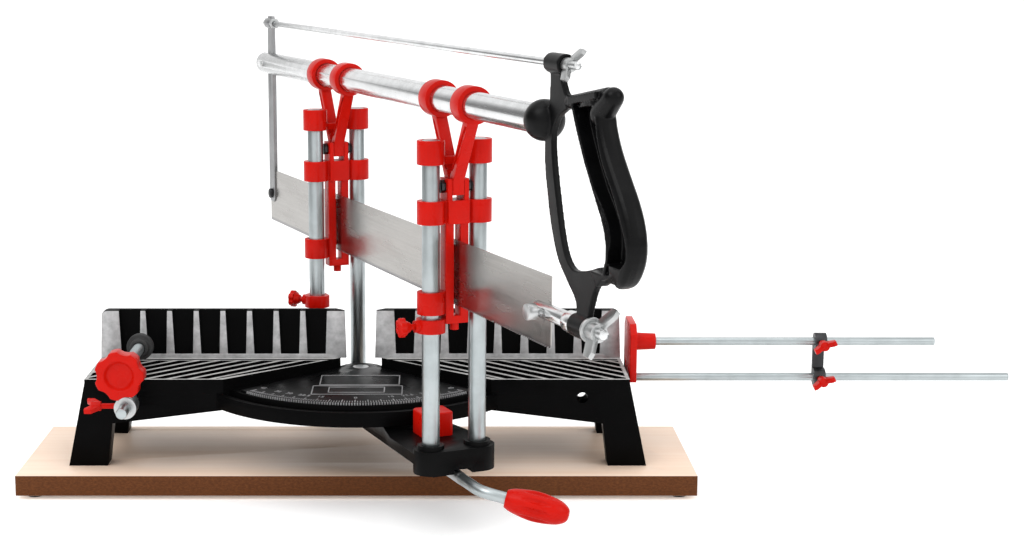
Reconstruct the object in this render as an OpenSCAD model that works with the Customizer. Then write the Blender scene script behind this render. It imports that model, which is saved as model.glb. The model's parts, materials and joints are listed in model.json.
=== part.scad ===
// Manual mitre saw on a wooden base board, in millimetres.
// The origin lies under the swing pivot, on the surface that the rubber feet stand on.
// +X is to the right, -Y towards the user, +Z up. The fence faces lie in the plane Y = 0.

/* [Base board] */
// Length of the wooden board
board_l = 494; // [460:1:540]
// Depth of the board
board_d = 135; // [130:1:150]
// Thickness of the board
board_t = 15; // [12:1:20]
// Distance from the fence plane to the board's front edge
board_front = 95.5; // [90:0.5:100]
// Height of the rubber feet
foot_h = 3; // [2:0.5:6]
// Diameter of the rubber feet
foot_d = 12; // [8:1:18]
// Distance of the feet from the board's edges
foot_inset = 12; // [10:1:20]

/* [Base casting] */
// Length of the table
table_l = 399; // [380:1:430]
// Height of the table above the board
table_h = 65.3; // [62:0.1:70]
// Depth of the table in front of the fence
table_front = 69.6; // [64:0.1:76]
// Depth of the base behind the fence
table_back = 36; // [32:1:44]
// Thickness of the table
table_t = 5; // [4:0.5:7]
// Depth of the grooves between the table's ribs
groove_depth = 2; // [1:0.5:3]
// Distance between the slanted ribs
rib_pitch = 10.9; // [9:0.1:16]
// Width of the machined ribs
rib_w = 3.2; // [2:0.1:5]
// Angle of the slanted ribs to the fence
rib_angle = 43; // [38:1:60]
// Thickness of the casting's walls
wall_t = 4; // [3:0.5:6]
// Spread of the legs at the board, to their outer sides
leg_spread = 425.4; // [415:0.1:440]
// Width of a leg at the board
leg_w = 28.4; // [24:0.1:34]
// Depth of a leg
leg_d = 17; // [14:1:24]
// Height of the walls' lower edge at the legs
wall_low_h = 32; // [28:1:36]
// Height of the walls' lower edge near the middle
wall_mid_h = 42.2; // [41.5:0.1:46]
// Half width of the opening in the front wall
mouth_half = 98; // [92:1:104]
// Half width of the opening in the rear wall
rear_mouth_half = 84; // [82:1:95]
// Half width of the blade recess at the fence
recess_half = 16; // [14:0.5:20]

/* [Quadrant] */
// Outer radius of the quadrant's rim
rim_r = 124.5; // [122:0.5:127]
// Height of the quadrant's underside above the board
rim_low_h = 44; // [43:0.5:46]
// Height of the rim's upper edge
rim_top_h = 54.6; // [52:0.1:56]
// Width of the raised rim
rim_w = 4; // [3:0.5:6]
// Radius of the step that carries the scale plate
step_r = 114.5; // [110:0.5:116]
// Height of the step above the board
step_h = 57; // [56:0.5:59]
// Thickness of the scale plate
plate_t = 1.5; // [1:0.1:3]
// Width of the step left bare round the scale plate
plate_margin = 2.5; // [1:0.5:5]
// Angles of the index notches in the rim
index_angles = [-45, -30, -22.5, 0, 22.5, 30, 45];
// Width of an index notch
notch_w = 6; // [4:0.5:8]

/* [Fence] */
// Height of the fence above the table
fence_h = 36.9; // [34:0.1:42]
// Thickness of the fence
fence_t = 10; // [8:0.5:10]
// Half width of the gap between the fences
fence_gap_half = 11; // [10.8:0.1:12]
// Radius of the fence's upper outer corner
fence_corner_r = 6; // [2:0.5:10]
// Count of pockets in each fence
pocket_n = 8; // [4:1:9]
// Distance between the pockets
pocket_pitch = 20.4; // [19:0.1:21]
// Width of a pocket at the top
pocket_top_w = 16.4; // [14:0.1:18]
// Width of a pocket at the bottom
pocket_low_w = 13.8; // [10:0.1:16]
// Depth of the pockets
pocket_depth = 6; // [3:0.5:7]
// Height of the plain strip under the pockets
pocket_sill = 3.4; // [2:0.1:6]
// Plain width at the fence's outer end
fence_end_w = 14.6; // [10:0.1:15]

/* [Swing arm] */
// Angle to which the arm is set, from straight ahead
swing_set = 22.5; // [-45:0.5:45]
// Distance from the pivot to the front guide
front_reach = 182; // [176:1:195]
// Distance from the pivot to the rear guide
rear_reach = 52; // [51:0.5:56]
// Half width of the arm at the front yoke
arm_half = 29; // [28:0.5:31]
// Half width of the arm under the table
arm_root_half = 24; // [20:0.5:24]
// Height of the arm's top above the board
arm_top_h = 40.5; // [40:0.1:40.8]
// Thickness of the arm's web
arm_t = 7; // [5:0.5:9]
// Height of the yokes' underside above the board
yoke_low_h = 27; // [25:0.5:29]
// Height of the yokes' top above the board
yoke_top_h = 43.6; // [42:0.1:44]
// Height of the post bosses' top above the board
boss_top_h = 46.4; // [45:0.1:48]
// Radius of the yokes round the posts
yoke_r = 12; // [11:0.5:12.5]
// Radius of the post bosses
boss_r = 9.2; // [8.5:0.1:10]
// Diameter of the pivot bolt
pivot_d = 12; // [10:0.5:14]

/* [Guide posts] */
// Diameter of a post
post_d = 12; // [11:0.5:12.5]
// Distance between the two posts of a guide
post_gap = 34; // [33:0.5:36]
// Distance from the tube's axis down to the posts' upper ends
post_drop = 24.7; // [20:0.1:30]

/* [Guides] */
// Diameter of the collars on the posts
collar_d = 18.6; // [17.5:0.1:19]
// Height of the upper collars
collar_h = 15.5; // [12:0.5:18]
// Gap between the upper collars and the top guide above them
guide_lift = 24; // [20:0.5:30]
// Gap between the blade's back and the upper collars
collar_rise = 11.2; // [8:0.1:14]
// Height of the lower collar
low_collar_h = 15; // [12:0.5:18]
// Distance from the teeth down to the lower collar's underside
low_collar_drop = 5; // [4:0.1:8]
// Height of the top guides
top_guide_h = 16; // [12:0.5:20]
// Thickness of the top guide's bar
bar_t = 5; // [4:0.5:6]
// Depth of the top guide's bar
bar_d = 5; // [4:0.5:6]
// Gap between the rails beside the blade
rail_gap = 5; // [4:0.1:6]
// Width of a rail
rail_w = 5.6; // [4:0.1:6]
// Depth of a rail
rail_d = 10; // [8:0.5:12]
// Distance between the hanger's rings
ring_gap = 54; // [48:1:60]
// Length of a ring along the tube
ring_l = 13; // [10:0.5:16]
// Wall of a ring
ring_wall = 3.3; // [2.5:0.1:4]
// Width of the hanger's legs across the saw
leg_across = 8; // [6:0.5:9]
// Width of the hanger's legs along the saw
leg_along = 8; // [6:0.5:10]
// Distance from the upper collars' underside up to the hanger's crotch
crotch_rise = 29; // [27:0.5:34]
// Diameter of the hanger bolts
bolt_d = 5; // [4:0.5:6]

/* [Depth stops] */
// Height of a depth stop ring
stop_h = 9.2; // [7:0.1:10]
// Outer diameter of a depth stop ring
stop_d = 19.6; // [18:0.1:20]
// Gap left between the front carriage and its stop
front_stop_drop = 3.4; // [3:0.1:8]
// Gap left between the rear carriage and its stop
rear_stop_drop = 30; // [26:0.5:34]
// Diameter of the stop screws
stop_screw_d = 4; // [3:0.5:5]
// Diameter of the stop screws' heads
stop_head_d = 13; // [11:0.5:15]
// Thickness of the stop screws' heads
stop_head_t = 8; // [6:0.5:10]
// Angle by which the rear stop is turned back on its post
rear_stop_turn = 45; // [30:1:60]

/* [Saw] */
// Height of the tube's axis above the board
tube_h = 277.2; // [274:0.1:282]
// Diameter of the tube
tube_d = 18; // [16:0.5:19]
// Wall of the tube
tube_wall = 1.5; // [1:0.1:2.5]
// Far end of the tube, from the pivot
tube_far = 231; // [228:1:240]
// Length of the blade
blade_l = 550; // [548:1:556]
// Height of the blade
blade_h = 44.3; // [40:0.1:48]
// Thickness of the blade
blade_t = 0.8; // [0.6:0.1:1]
// Far end of the blade, from the pivot
blade_far = 221.8; // [220:0.1:224]
// Distance between the teeth
tooth_pitch = 3; // [2.5:0.1:5]
// Depth of the teeth
tooth_depth = 1.4; // [1:0.1:2]
// Distance from the tube's axis up to the tension rod
rod_rise = 34.3; // [30:0.1:38]
// Diameter of the tension rod
rod_d = 4.5; // [4:0.1:6]
// Width of the far arm along the saw
far_arm_w = 14; // [12:0.5:16]
// Thickness of the far arm
far_arm_t = 3; // [2.5:0.1:4]

/* [Handle] */
// Distance from the pivot to the tube's end inside the ball
ball_s = 312; // [309:1:313]
// Distance from the tube's end to the top boss
top_boss_reach = 12.6; // [11:0.1:15]
// Distance from the tube's end to the lower boss
low_boss_reach = 49.5; // [46:0.5:54]
// Radius of the ball
ball_r = 12.5; // [12:0.5:13.5]
// Thickness of the handle's web
web_t = 4; // [3.5:0.5:6]
// Half thickness of the grip
grip_half = 7.5; // [6.5:0.5:9]
// Thickness of the wall behind the grip's trough
trough_floor = 5; // [4:0.5:6]
// Diameter of the top boss
top_boss_d = 12; // [11:0.5:14]
// Length of the top boss
top_boss_l = 19; // [17:0.5:22]
// Diameter of the lower boss
low_boss_d = 14.5; // [13:0.5:16]
// Length of the lower boss
low_boss_l = 17; // [15:0.5:20]
// Distance from the teeth up to the blade holder's axis
holder_rise = 22; // [20:0.5:26]
// Diameter of the blade holder
holder_d = 10; // [9:0.5:11]

/* [Lever and pawl] */
// Diameter of the lever's rod
lever_d = 8; // [7:0.5:9]
// Height of the lever's axis above the board
lever_h = 24; // [23:0.5:25]
// Distance from the pivot to the lever's bend
lever_bend_s = 218; // [212:1:230]
// Angle of the lever's bend
lever_bend = 58; // [45:1:70]
// Radius of the lever's bend
lever_bend_r = 15; // [12:0.5:20]
// Angle by which the lever hangs down
lever_drop = 15; // [5:1:18]
// Length of the lever's grip
grip_l = 43; // [38:1:48]
// Diameter of the lever's grip
grip_d = 20; // [17:0.5:22]
// Width of the index pawl
pawl_w = 28; // [24:0.5:30]
// Length of the index pawl
pawl_l = 25; // [20:0.5:26]
// Height of the index pawl
pawl_h = 21; // [18:0.5:22]

/* [Work clamp] */
// Distance of the clamp sockets from the middle
clamp_x = 165; // [160:0.5:168]
// Height of the clamp rod above the board
clamp_rod_h = 51.5; // [50:0.5:53]
// Height of the clamp screw above the board
clamp_screw_h = 80; // [79:0.5:86]
// Diameter of the clamp rod
clamp_rod_d = 8; // [7:0.5:9]
// Diameter of the clamp screw
clamp_screw_d = 8; // [6:0.5:9]
// Outer end of the clamp rod, in front of the fence
clamp_rod_out = 116; // [112:1:124]
// Length of the clamp arm along the rod
clamp_arm_l = 14; // [10:0.5:16]
// Distance of the clamp arm's front from the fence
clamp_arm_out = 100; // [98:1:104]
// Diameter of the star knob
knob_d = 35; // [30:1:36]
// Thickness of the star knob
knob_t = 13; // [10:0.5:16]
// Count of lobes on the star knob
knob_lobes = 7; // [5:1:9]
// Diameter of the pad
pad_d = 20; // [16:0.5:24]
// Thickness of the pad
pad_t = 10; // [8:0.5:12]
// Distance between the pad and the fence
pad_gap = 23; // [20:0.5:30]
// Depth of the clamp sockets
socket_l = 20; // [14:1:30]

/* [Length stop] */
// Distance of the rods from the fence plane
stop_y = 25; // [20:0.5:30]
// Height of the lower rod above the board
low_rod_h = 56.5; // [52:0.1:56.6]
// Distance between the two rods
rods_gap = 27.5; // [25:0.5:32]
// Diameter of the rods
stop_rod_d = 6; // [5:0.5:6.5]
// Outer end of the lower rod
low_rod_end = 490; // [470:1:510]
// Outer end of the upper rod
up_rod_end = 433; // [420:1:450]
// Length of the lower rod inside the base
low_rod_inside = 48; // [44:1:60]
// Place of the link along the rods
link_x = 347; // [330:1:360]
// Width of the link's strap
link_w = 8.5; // [8:0.5:12]
// Height of the stop plate
stop_plate_h = 43; // [36:1:46]
// Depth of the stop plate
stop_plate_d = 44; // [36:1:46]
// Thickness of the stop plate
stop_plate_t = 5; // [4:0.5:7]
// Length of the stop plate's hub
hub_l = 16; // [12:0.5:20]

/* [Fits] */
// Clearance round a sliding or turning shaft
run_fit = 0.05; // [0.02:0.01:0.1]
// Clearance between faces of pieces that move past each other
face_gap = 0.3; // [0.2:0.1:0.6]
// Clearance round the tube in the hanger's rings
tube_fit = 0.08; // [0.05:0.01:0.1]
// Clearance round a fixed shaft in its seat
seat_fit = 0.02; // [0.01:0.01:0.05]

/* [Hidden] */
$fn = 48;
z_board = foot_h + board_t;
z_table = z_board + table_h;
board_back = board_d - board_front;
half_l = table_l / 2;
// Heights above the board, which all hang from the tube's height
rod_h = tube_h + rod_rise;
post_top_h = tube_h - post_drop;
collar_z = post_top_h - top_guide_h - guide_lift - collar_h;
crotch_h = collar_z + crotch_rise;
blade_top_h = collar_z - collar_rise;
teeth_h = blade_top_h - blade_h;
low_collar_z = teeth_h - low_collar_drop;
holder_h = teeth_h + holder_rise;
over = 1;
part_black = [0.06, 0.06, 0.065];
part_red = [0.86, 0.09, 0.06];
steel = [0.72, 0.74, 0.76];
bright = [0.82, 0.83, 0.85];

// Height above the floor of a place given above the board
function up(h) = z_board + h;

// A smooth closed or open curve through a few points
function curve_point(a, b, c, d, t) = 0.5 * (2 * b + (c - a) * t + (2 * a - 5 * b + 4 * c - d) * t * t
  + (3 * b - a - 3 * c + d) * t * t * t);
function closed_curve(p, steps) = [for (i = [0 : len(p) - 1], k = [0 : steps - 1])
  curve_point(p[(i + len(p) - 1) % len(p)], p[i], p[(i + 1) % len(p)], p[(i + 2) % len(p)], k / steps)];
function open_curve(p, steps) = concat([for (i = [0 : len(p) - 2], k = [0 : steps - 1])
  curve_point(p[max(i - 1, 0)], p[i], p[i + 1], p[min(i + 2, len(p) - 1)], k / steps)], [p[len(p) - 1]]);

// Frame of the swing arm: its own -Y runs along the saw towards the user
module on_arm() { rotate([0, 0, swing_set]) children(); }
module at_reach(s) { translate([0, -s, 0]) children(); }

// A flat outline in the plane of the saw, drawn as (distance from the pivot, height above the board)
module saw_plane(t) {
  translate([0, 0, z_board]) rotate([90, 0, -90]) linear_extrude(t, center = true) children();
}

// A cylinder along the saw, from one distance to another
module along_saw(s_from, s_to, h, d, x = 0) {
  translate([x, -s_from, up(h)]) rotate([90, 0, 0]) cylinder(d = d, h = s_to - s_from);
}

// A cylinder across the saw
module across_saw(x_from, x_to, s, h, d) {
  translate([x_from, -s, up(h)]) rotate([0, 90, 0]) cylinder(d = d, h = x_to - x_from);
}

// Round outline with shallow hollows between its lobes
module star(d, lobes, depth) {
  hollow_r = d * 0.26;
  difference() {
    circle(d = d);
    for (i = [0 : lobes - 1]) rotate((i + 0.5) * 360 / lobes)
      translate([d / 2 + hollow_r - depth, 0]) circle(hollow_r);
  }
}

// Wing nut or wing screw head with its base at the origin, along +Z
module wings(hub_d, hub_h, span, blade_w, tip_h) {
  cylinder(d = hub_d, h = hub_h);
  for (side = [-1, 1]) rotate([90, 0, 0]) translate([0, 0, -blade_w / 2]) linear_extrude(blade_w)
    polygon([[side * hub_d / 4, 0.6], [side * hub_d * 0.48, 0.6], [side * span / 2, tip_h * 0.55],
      [side * span / 2, tip_h], [side * (span / 2 - hub_d * 0.35), tip_h], [side * hub_d / 4, hub_h]]);
}

// Base board

leg_x = leg_spread / 2 - leg_w / 2;
leg_ys = [-table_front + leg_d / 2, table_back - leg_d / 2];
leg_screw_d = 5;
leg_screw_head_d = 9;
leg_screw_head_h = 3.5;
leg_screw_l = 24;

module each_leg() {
  for (side = [-1, 1], y = leg_ys) translate([side * leg_x, y, 0]) children();
}

module base_board() {
  color([0.82, 0.62, 0.42]) difference() {
    translate([-board_l / 2, -board_front, foot_h]) cube([board_l, board_d, board_t]);
    each_leg() {
      translate([0, 0, foot_h - over]) cylinder(d = leg_screw_d + 2 * seat_fit, h = board_t + 2 * over);
      translate([0, 0, foot_h - over])
        cylinder(d = leg_screw_head_d + 2 * seat_fit, h = leg_screw_head_h + over);
    }
  }
}

module rubber_feet() {
  foot_x = board_l / 2 - foot_inset;
  foot_ys = [-board_front + foot_inset, board_back - foot_inset];
  color([0.04, 0.04, 0.04]) {
    for (x = [-foot_x, foot_x], y = foot_ys) translate([x, y, 0]) cylinder(d = foot_d, h = foot_h);
    cylinder(d = foot_d, h = foot_h);
  }
}

module board_screws() {
  color(steel) each_leg() {
    translate([0, 0, foot_h]) cylinder(d = leg_screw_head_d, h = leg_screw_head_h);
    translate([0, 0, foot_h]) cylinder(d = leg_screw_d, h = leg_screw_l);
  }
}

// Base casting

z_step = up(step_h);
recess_slope = (mouth_half - recess_half) / table_front;
border_w = 2.6;
fence_strip = 9;

// Outline of one table half, on the right, between the blade recess and the end
module table_half(inset) {
  polygon([[recess_half + inset, -inset], [half_l - inset, -inset], [half_l - inset, -table_front + inset],
    [mouth_half + inset * 1.6, -table_front + inset]]);
}

// Grooves in one table half: slanted ones, and two that run beside the fence
module table_grooves() {
  groove = (rib_pitch - rib_w) / sin(rib_angle);
  step = rib_pitch / sin(rib_angle);
  slope = table_front / tan(rib_angle);
  difference() {
    intersection() {
      table_half(border_w);
      for (x = [-slope : step : half_l + slope])
        polygon([[x, 0], [x + groove, 0], [x + groove + slope, -table_front], [x + slope, -table_front]]);
    }
    translate([0, -fence_strip]) square([half_l, fence_strip]);
  }
  intersection() {
    table_half(border_w * 0.4);
    translate([0, -fence_strip + 2]) square([half_l - border_w, 3]);
  }
}

// Front or rear wall of one half with its splayed leg, seen from the front
module wall_outline(inner) {
  foot_out = leg_spread / 2;
  polygon([[inner, table_h - table_t / 2], [half_l, table_h - table_t / 2], [foot_out, 0],
    [foot_out - leg_w, 0], [foot_out - leg_w - 4, wall_low_h], [inner, wall_mid_h]]);
}
module leg_outline() {
  foot_out = leg_spread / 2;
  polygon([[foot_out - leg_w - 8, table_h - table_t / 2], [half_l, table_h - table_t / 2], [foot_out, 0],
    [foot_out - leg_w, 0], [foot_out - leg_w - 4, wall_low_h]]);
}
module upright(y, depth) {
  translate([0, y, z_board]) rotate([90, 0, 0]) linear_extrude(depth) children();
}
module both_sides() {
  children();
  mirror([1, 0, 0]) children();
}

clamp_socket_d = clamp_rod_d + 2 * run_fit;
stop_socket_d = stop_rod_d + 2 * run_fit;
socket_wall = 4;
rod_boss_l = 22;
pivot_boss_r = 18;
disc_back = 9;
notch_rim = 2;
notch_deep = 4;

module base_casting() {
  wall_base = up(wall_low_h);
  color(part_black) difference() {
    union() {
      both_sides() {
        translate([0, 0, z_table - table_t]) linear_extrude(table_t) union() {
          table_half(0);
          polygon([[recess_half, 0], [half_l, 0], [half_l, table_back], [rear_mouth_half, table_back],
            [rear_mouth_half, fence_t], [recess_half, fence_t]]);
        }
        upright(-table_front + wall_t, wall_t) wall_outline(mouth_half);
        upright(table_back, wall_t) wall_outline(rear_mouth_half);
        upright(-table_front + leg_d, leg_d) leg_outline();
        upright(table_back, leg_d) leg_outline();
        translate([half_l - wall_t, -table_front, wall_base])
          cube([wall_t, table_front + table_back, z_table - wall_base - over]);
        translate([rear_mouth_half, fence_t - wall_t, up(rim_low_h)])
          cube([wall_t, table_back - fence_t + wall_t, z_table - table_t / 2 - up(rim_low_h)]);
        translate([recess_half, fence_t - wall_t, up(rim_low_h)])
          cube([rear_mouth_half - recess_half + over, wall_t, z_table - table_t / 2 - up(rim_low_h)]);
        translate([0, 0, up(rim_low_h)]) linear_extrude(z_table - table_t / 2 - up(rim_low_h))
          polygon([[recess_half, 0], [mouth_half, -table_front], [mouth_half + 1.5 * wall_t, -table_front],
            [recess_half + 1.5 * wall_t, 0]]);
        translate([clamp_x, -table_front, up(clamp_rod_h)]) rotate([-90, 0, 0])
          cylinder(d = clamp_socket_d + 2 * socket_wall, h = socket_l);
      }
      translate([half_l, -stop_y, up(low_rod_h)]) rotate([0, -90, 0])
        cylinder(d = stop_socket_d + 2 * socket_wall, h = rod_boss_l);
      difference() {
        translate([0, 0, up(rim_low_h)]) union() {
          cylinder(r = rim_r - rim_w, h = rim_top_h - rim_low_h - 2, $fn = 128);
          cylinder(r = rim_r, h = rim_top_h - rim_low_h, $fn = 128);
          cylinder(r = step_r, h = step_h - rim_low_h, $fn = 128);
        }
        translate([0, 0, up(rim_top_h) - 2]) difference() {
          cylinder(r = rim_r - rim_w, h = step_h, $fn = 128);
          translate([0, 0, -over]) cylinder(r = step_r, h = step_h + 2 * over, $fn = 128);
        }
        translate([-half_l, disc_back, 0]) cube([table_l, rim_r, z_table]);
        quadrant_ribbing();
      }
      cylinder_from(up(rim_low_h), z_step, pivot_boss_r);
    }
    translate([0, 0, z_table - groove_depth]) linear_extrude(groove_depth + over) both_sides() table_grooves();
    cylinder_from(up(rim_low_h) - over, z_step + over, pivot_d / 2 + seat_fit);
    both_sides() translate([clamp_x, -table_front - over, up(clamp_rod_h)]) rotate([-90, 0, 0])
      cylinder(d = clamp_socket_d, h = socket_l + 2 * over);
    translate([half_l + over, -stop_y, up(low_rod_h)]) rotate([0, -90, 0])
      cylinder(d = stop_socket_d, h = rod_boss_l + 2 * over);
    each_leg() translate([0, 0, z_board - over]) cylinder(d = leg_screw_d + 2 * seat_fit, h = leg_screw_l);
    each_fence_screw() translate([0, 0, z_table - table_t - over])
      cylinder(d = fence_screw_d + 2 * seat_fit, h = table_t + 2 * over);
    each_fence_screw() translate([0, 0, up(rim_low_h) - over])
      cylinder(d = fence_screw_head_d + 2 * face_gap, h = table_h - table_t - rim_low_h + over);
    for (a = index_angles) rotate([0, 0, a]) translate([-notch_w / 2, -rim_r + notch_rim, up(rim_low_h) - over])
      cube([notch_w, rim_w, notch_deep + over]);
  }
}

// Round solid between two heights on the pivot axis
module cylinder_from(z_low, z_high, r) {
  translate([0, 0, z_low]) cylinder(r = r, h = z_high - z_low);
}

// Hollow underside of the quadrant
module quadrant_ribbing() {
  skin = 5;
  translate([0, 0, up(rim_low_h) - over]) intersection() {
    difference() {
      cylinder(r = step_r - rim_w, h = step_h - rim_low_h - skin + over, $fn = 96);
      translate([0, 0, -over]) cylinder(r = pivot_boss_r + 6, h = step_h);
    }
    translate([-half_l, -rim_r, 0]) cube([table_l, rim_r - wall_t, step_h]);
  }
}

// Fences

fence_l = half_l - fence_gap_half;
fence_screw_d = 3;
fence_screw_head_d = 6;
fence_screw_head_h = 3;
fence_screw_grip = 12;
fence_screw_xs = [fence_gap_half + 22, fence_gap_half + fence_l * 0.6, half_l - 26];

module each_fence_screw() {
  for (side = [-1, 1], x = fence_screw_xs) translate([side * x, (fence_t + pocket_depth) / 2, 0]) children();
}

module fence_right_body() {
  difference() {
    translate([0, fence_t, z_table]) rotate([90, 0, 0]) linear_extrude(fence_t) difference() {
      polygon([[fence_gap_half, 0], [half_l, 0], [half_l - 1.5, fence_h], [fence_gap_half + 1.2, fence_h]]);
      translate([half_l - fence_corner_r, fence_h - fence_corner_r]) difference() {
        square(fence_corner_r + over);
        circle(fence_corner_r);
      }
    }
    for (i = [0 : pocket_n - 1])
      translate([half_l - fence_end_w - pocket_top_w / 2 - i * pocket_pitch, pocket_depth, z_table])
        rotate([90, 0, 0]) linear_extrude(pocket_depth + over)
          polygon([[-pocket_low_w / 2, pocket_sill], [pocket_low_w / 2, pocket_sill],
            [pocket_top_w / 2, fence_h + over], [-pocket_top_w / 2, fence_h + over]]);
    translate([0, 0, z_table - over]) linear_extrude(fence_h + 2 * over)
      polygon([[fence_gap_half - over, 1.5], [fence_gap_half + 9, fence_t + over],
        [fence_gap_half - over, fence_t + over]]);
    each_fence_screw() translate([0, 0, z_table - over])
      cylinder(d = fence_screw_d + 2 * seat_fit, h = fence_screw_grip + over);
  }
}
module fence_right() { color([0.62, 0.63, 0.64]) fence_right_body(); }
module fence_left() { color([0.62, 0.63, 0.64]) mirror([1, 0, 0]) fence_right_body(); }

module fence_screws() {
  color(steel) each_fence_screw() translate([0, 0, z_table - table_t - fence_screw_head_h]) {
    cylinder(d = fence_screw_head_d, h = fence_screw_head_h);
    cylinder(d = fence_screw_d, h = fence_screw_head_h + table_t + fence_screw_grip - 1);
  }
}

module scale_plate() {
  plate_r = step_r - plate_margin;
  edge = recess_half - 4;
  color([0.12, 0.12, 0.13]) translate([0, 0, z_step]) linear_extrude(plate_t) difference() {
    intersection() {
      circle(plate_r, $fn = 128);
      polygon([[-edge, disc_back - 1], [edge, disc_back - 1], [edge, 0], [edge + rim_r, -rim_r],
        [-edge - rim_r, -rim_r], [-edge, 0]]);
    }
    circle(pivot_d / 2 + seat_fit);
  }
}

module pivot_bolt() {
  head_h = 5;
  washer_h = 2;
  bolt_low = up(arm_low_h) - face_gap - washer_h;
  color(steel) {
    cylinder_from(bolt_low, z_step + plate_t, pivot_d / 2);
    cylinder_from(bolt_low, bolt_low + washer_h, pivot_d);
    translate([0, 0, bolt_low - head_h]) cylinder(d = pivot_d * 1.6, h = head_h, $fn = 6);
  }
}

// Swing arm

arm_low_h = arm_top_h - arm_t - 4;
lever_boss_s = [152, 164];
pawl_s = rim_r + face_gap;
pawl_lug_w = 8;
pawl_slot_l = 16;
pawl_travel = 5;
pawl_side = 3;
wide_s = [112, 136];

module arm_plan() {
  polygon([[-arm_root_half, rear_reach], [arm_root_half, rear_reach], [arm_root_half, -wide_s[0]],
    [arm_half, -wide_s[1]], [arm_half, -front_reach], [-arm_half, -front_reach],
    [-arm_half, -wide_s[1]], [-arm_root_half, -wide_s[0]]]);
}

module yoke(s) {
  at_reach(s) {
    translate([0, 0, up(yoke_low_h)]) linear_extrude(yoke_top_h - yoke_low_h) union() {
      for (side = [-1, 1]) translate([side * post_gap / 2, 0]) circle(yoke_r);
      square([post_gap, 2 * yoke_r], center = true);
    }
    for (side = [-1, 1]) translate([side * post_gap / 2, 0, up(yoke_low_h)])
      cylinder(r = boss_r, h = boss_top_h - yoke_low_h);
  }
}

module swing_arm() {
  color(part_black) on_arm() difference() {
    union() {
      translate([0, 0, up(arm_top_h - arm_t)]) linear_extrude(arm_t) arm_plan();
      for (side = [-1, 1]) translate([side * (arm_root_half - wall_t / 2), 0, up(arm_low_h)])
        translate([-wall_t / 2, -front_reach, 0]) cube([wall_t, front_reach + rear_reach, arm_t]);
      cylinder_from(up(arm_low_h), up(rim_low_h) - face_gap, pivot_boss_r - 2);
      yoke(front_reach);
      yoke(-rear_reach);
      translate([-lever_d, -lever_boss_s[1], up(lever_h - lever_d * 0.9)])
        cube([2 * lever_d, lever_boss_s[1] - lever_boss_s[0], arm_top_h - lever_h + lever_d * 0.9 - 1]);
    }
    cylinder_from(up(arm_low_h) - over, up(boss_top_h), pivot_d / 2 + run_fit);
    for (s = [front_reach, -rear_reach], side = [-1, 1])
      translate([side * post_gap / 2, -s, up(yoke_low_h + 3)])
        cylinder(d = post_d + 2 * seat_fit, h = yoke_top_h);
    along_saw(lever_boss_s[0] - over, lever_boss_s[1] + over, lever_h, lever_d + 2 * run_fit);
    translate([-lever_d / 2 - 1, -front_reach - yoke_r - over, up(yoke_low_h) - over])
      cube([lever_d * 1.7, 2 * yoke_r + 2 * over, lever_h + lever_d / 2 + 2 - yoke_low_h + over]);
    translate([-pawl_lug_w / 2 - face_gap, -pawl_s - pawl_slot_l - pawl_travel - 3, up(arm_low_h)])
      cube([pawl_lug_w + 2 * face_gap, pawl_slot_l + pawl_travel + 1, arm_top_h]);
  }
}

module post(side, s) {
  color(bright) on_arm() translate([side * post_gap / 2, -s, up(yoke_low_h + 3)])
    cylinder(d = post_d, h = post_top_h - yoke_low_h - 3);
}

// Index pawl and clamp lever

module index_pawl() {
  corner = 4;
  color(part_red) on_arm() {
    translate([pawl_side, -pawl_s - pawl_l / 2, up(arm_top_h) + face_gap]) linear_extrude(pawl_h) union() {
      square([pawl_w - 2 * corner, pawl_l], center = true);
      square([pawl_w, pawl_l - 2 * corner], center = true);
      for (x = [-1, 1], y = [-1, 1])
        translate([x * (pawl_w / 2 - corner), y * (pawl_l / 2 - corner)]) circle(corner);
    }
    translate([-pawl_lug_w / 2, -pawl_s - pawl_slot_l - 2.5, up(arm_top_h - arm_t + 1)])
      cube([pawl_lug_w, pawl_slot_l, arm_t]);
  }
}

lever_tail_s = 132;
lever_neck = 9;
lever_cover = 7;

// Frame at the outer end of the lever's bend, with +Z along the bent part
module at_lever_end() {
  on_arm() translate([0, 0, up(lever_h)]) rotate([0, lever_drop, 0])
    translate([lever_bend_r * (1 - cos(lever_bend)), -lever_bend_s - lever_bend_r * sin(lever_bend), 0])
      rotate([0, 90, lever_bend - 90]) children();
}

module clamp_lever() {
  color(bright) {
    on_arm() translate([0, 0, up(lever_h)]) rotate([0, lever_drop, 0]) {
      translate([0, -lever_tail_s, 0]) rotate([90, 0, 0])
        cylinder(d = lever_d, h = lever_bend_s - lever_tail_s);
      translate([lever_bend_r, -lever_bend_s, 0]) rotate([0, 0, 180]) rotate_extrude(angle = lever_bend)
        translate([lever_bend_r, 0]) circle(d = lever_d);
    }
    at_lever_end() translate([0, 0, -seat_fit]) cylinder(d = lever_d, h = lever_neck + lever_cover);
  }
}

// Outline of the lever's grip, as parts of its radius and its length
grip_outline = [[0.6, 0], [0.8, 0.12], [1, 0.4], [0.97, 0.62], [0.78, 0.85], [0.42, 0.98], [0, 1]];

module lever_grip() {
  color(part_red) at_lever_end() translate([0, 0, lever_neck]) difference() {
    rotate_extrude() polygon(concat([[0, 0]],
      [for (p = open_curve(grip_outline, 3)) [max(p[0], 0) * grip_d / 2, min(p[1], 1) * grip_l]]));
    translate([0, 0, -over]) cylinder(d = lever_d + 2 * seat_fit, h = lever_cover + over);
  }
}

// Guides

bolt_h = collar_z + collar_h + 9;
ear_in = leg_across / 2 + face_gap;
ear_out = ear_in + 3.2;
ear_top = crotch_h + 1;
lip_gap = blade_t / 2 + face_gap;
bolt_head_h = 2.9;

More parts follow.
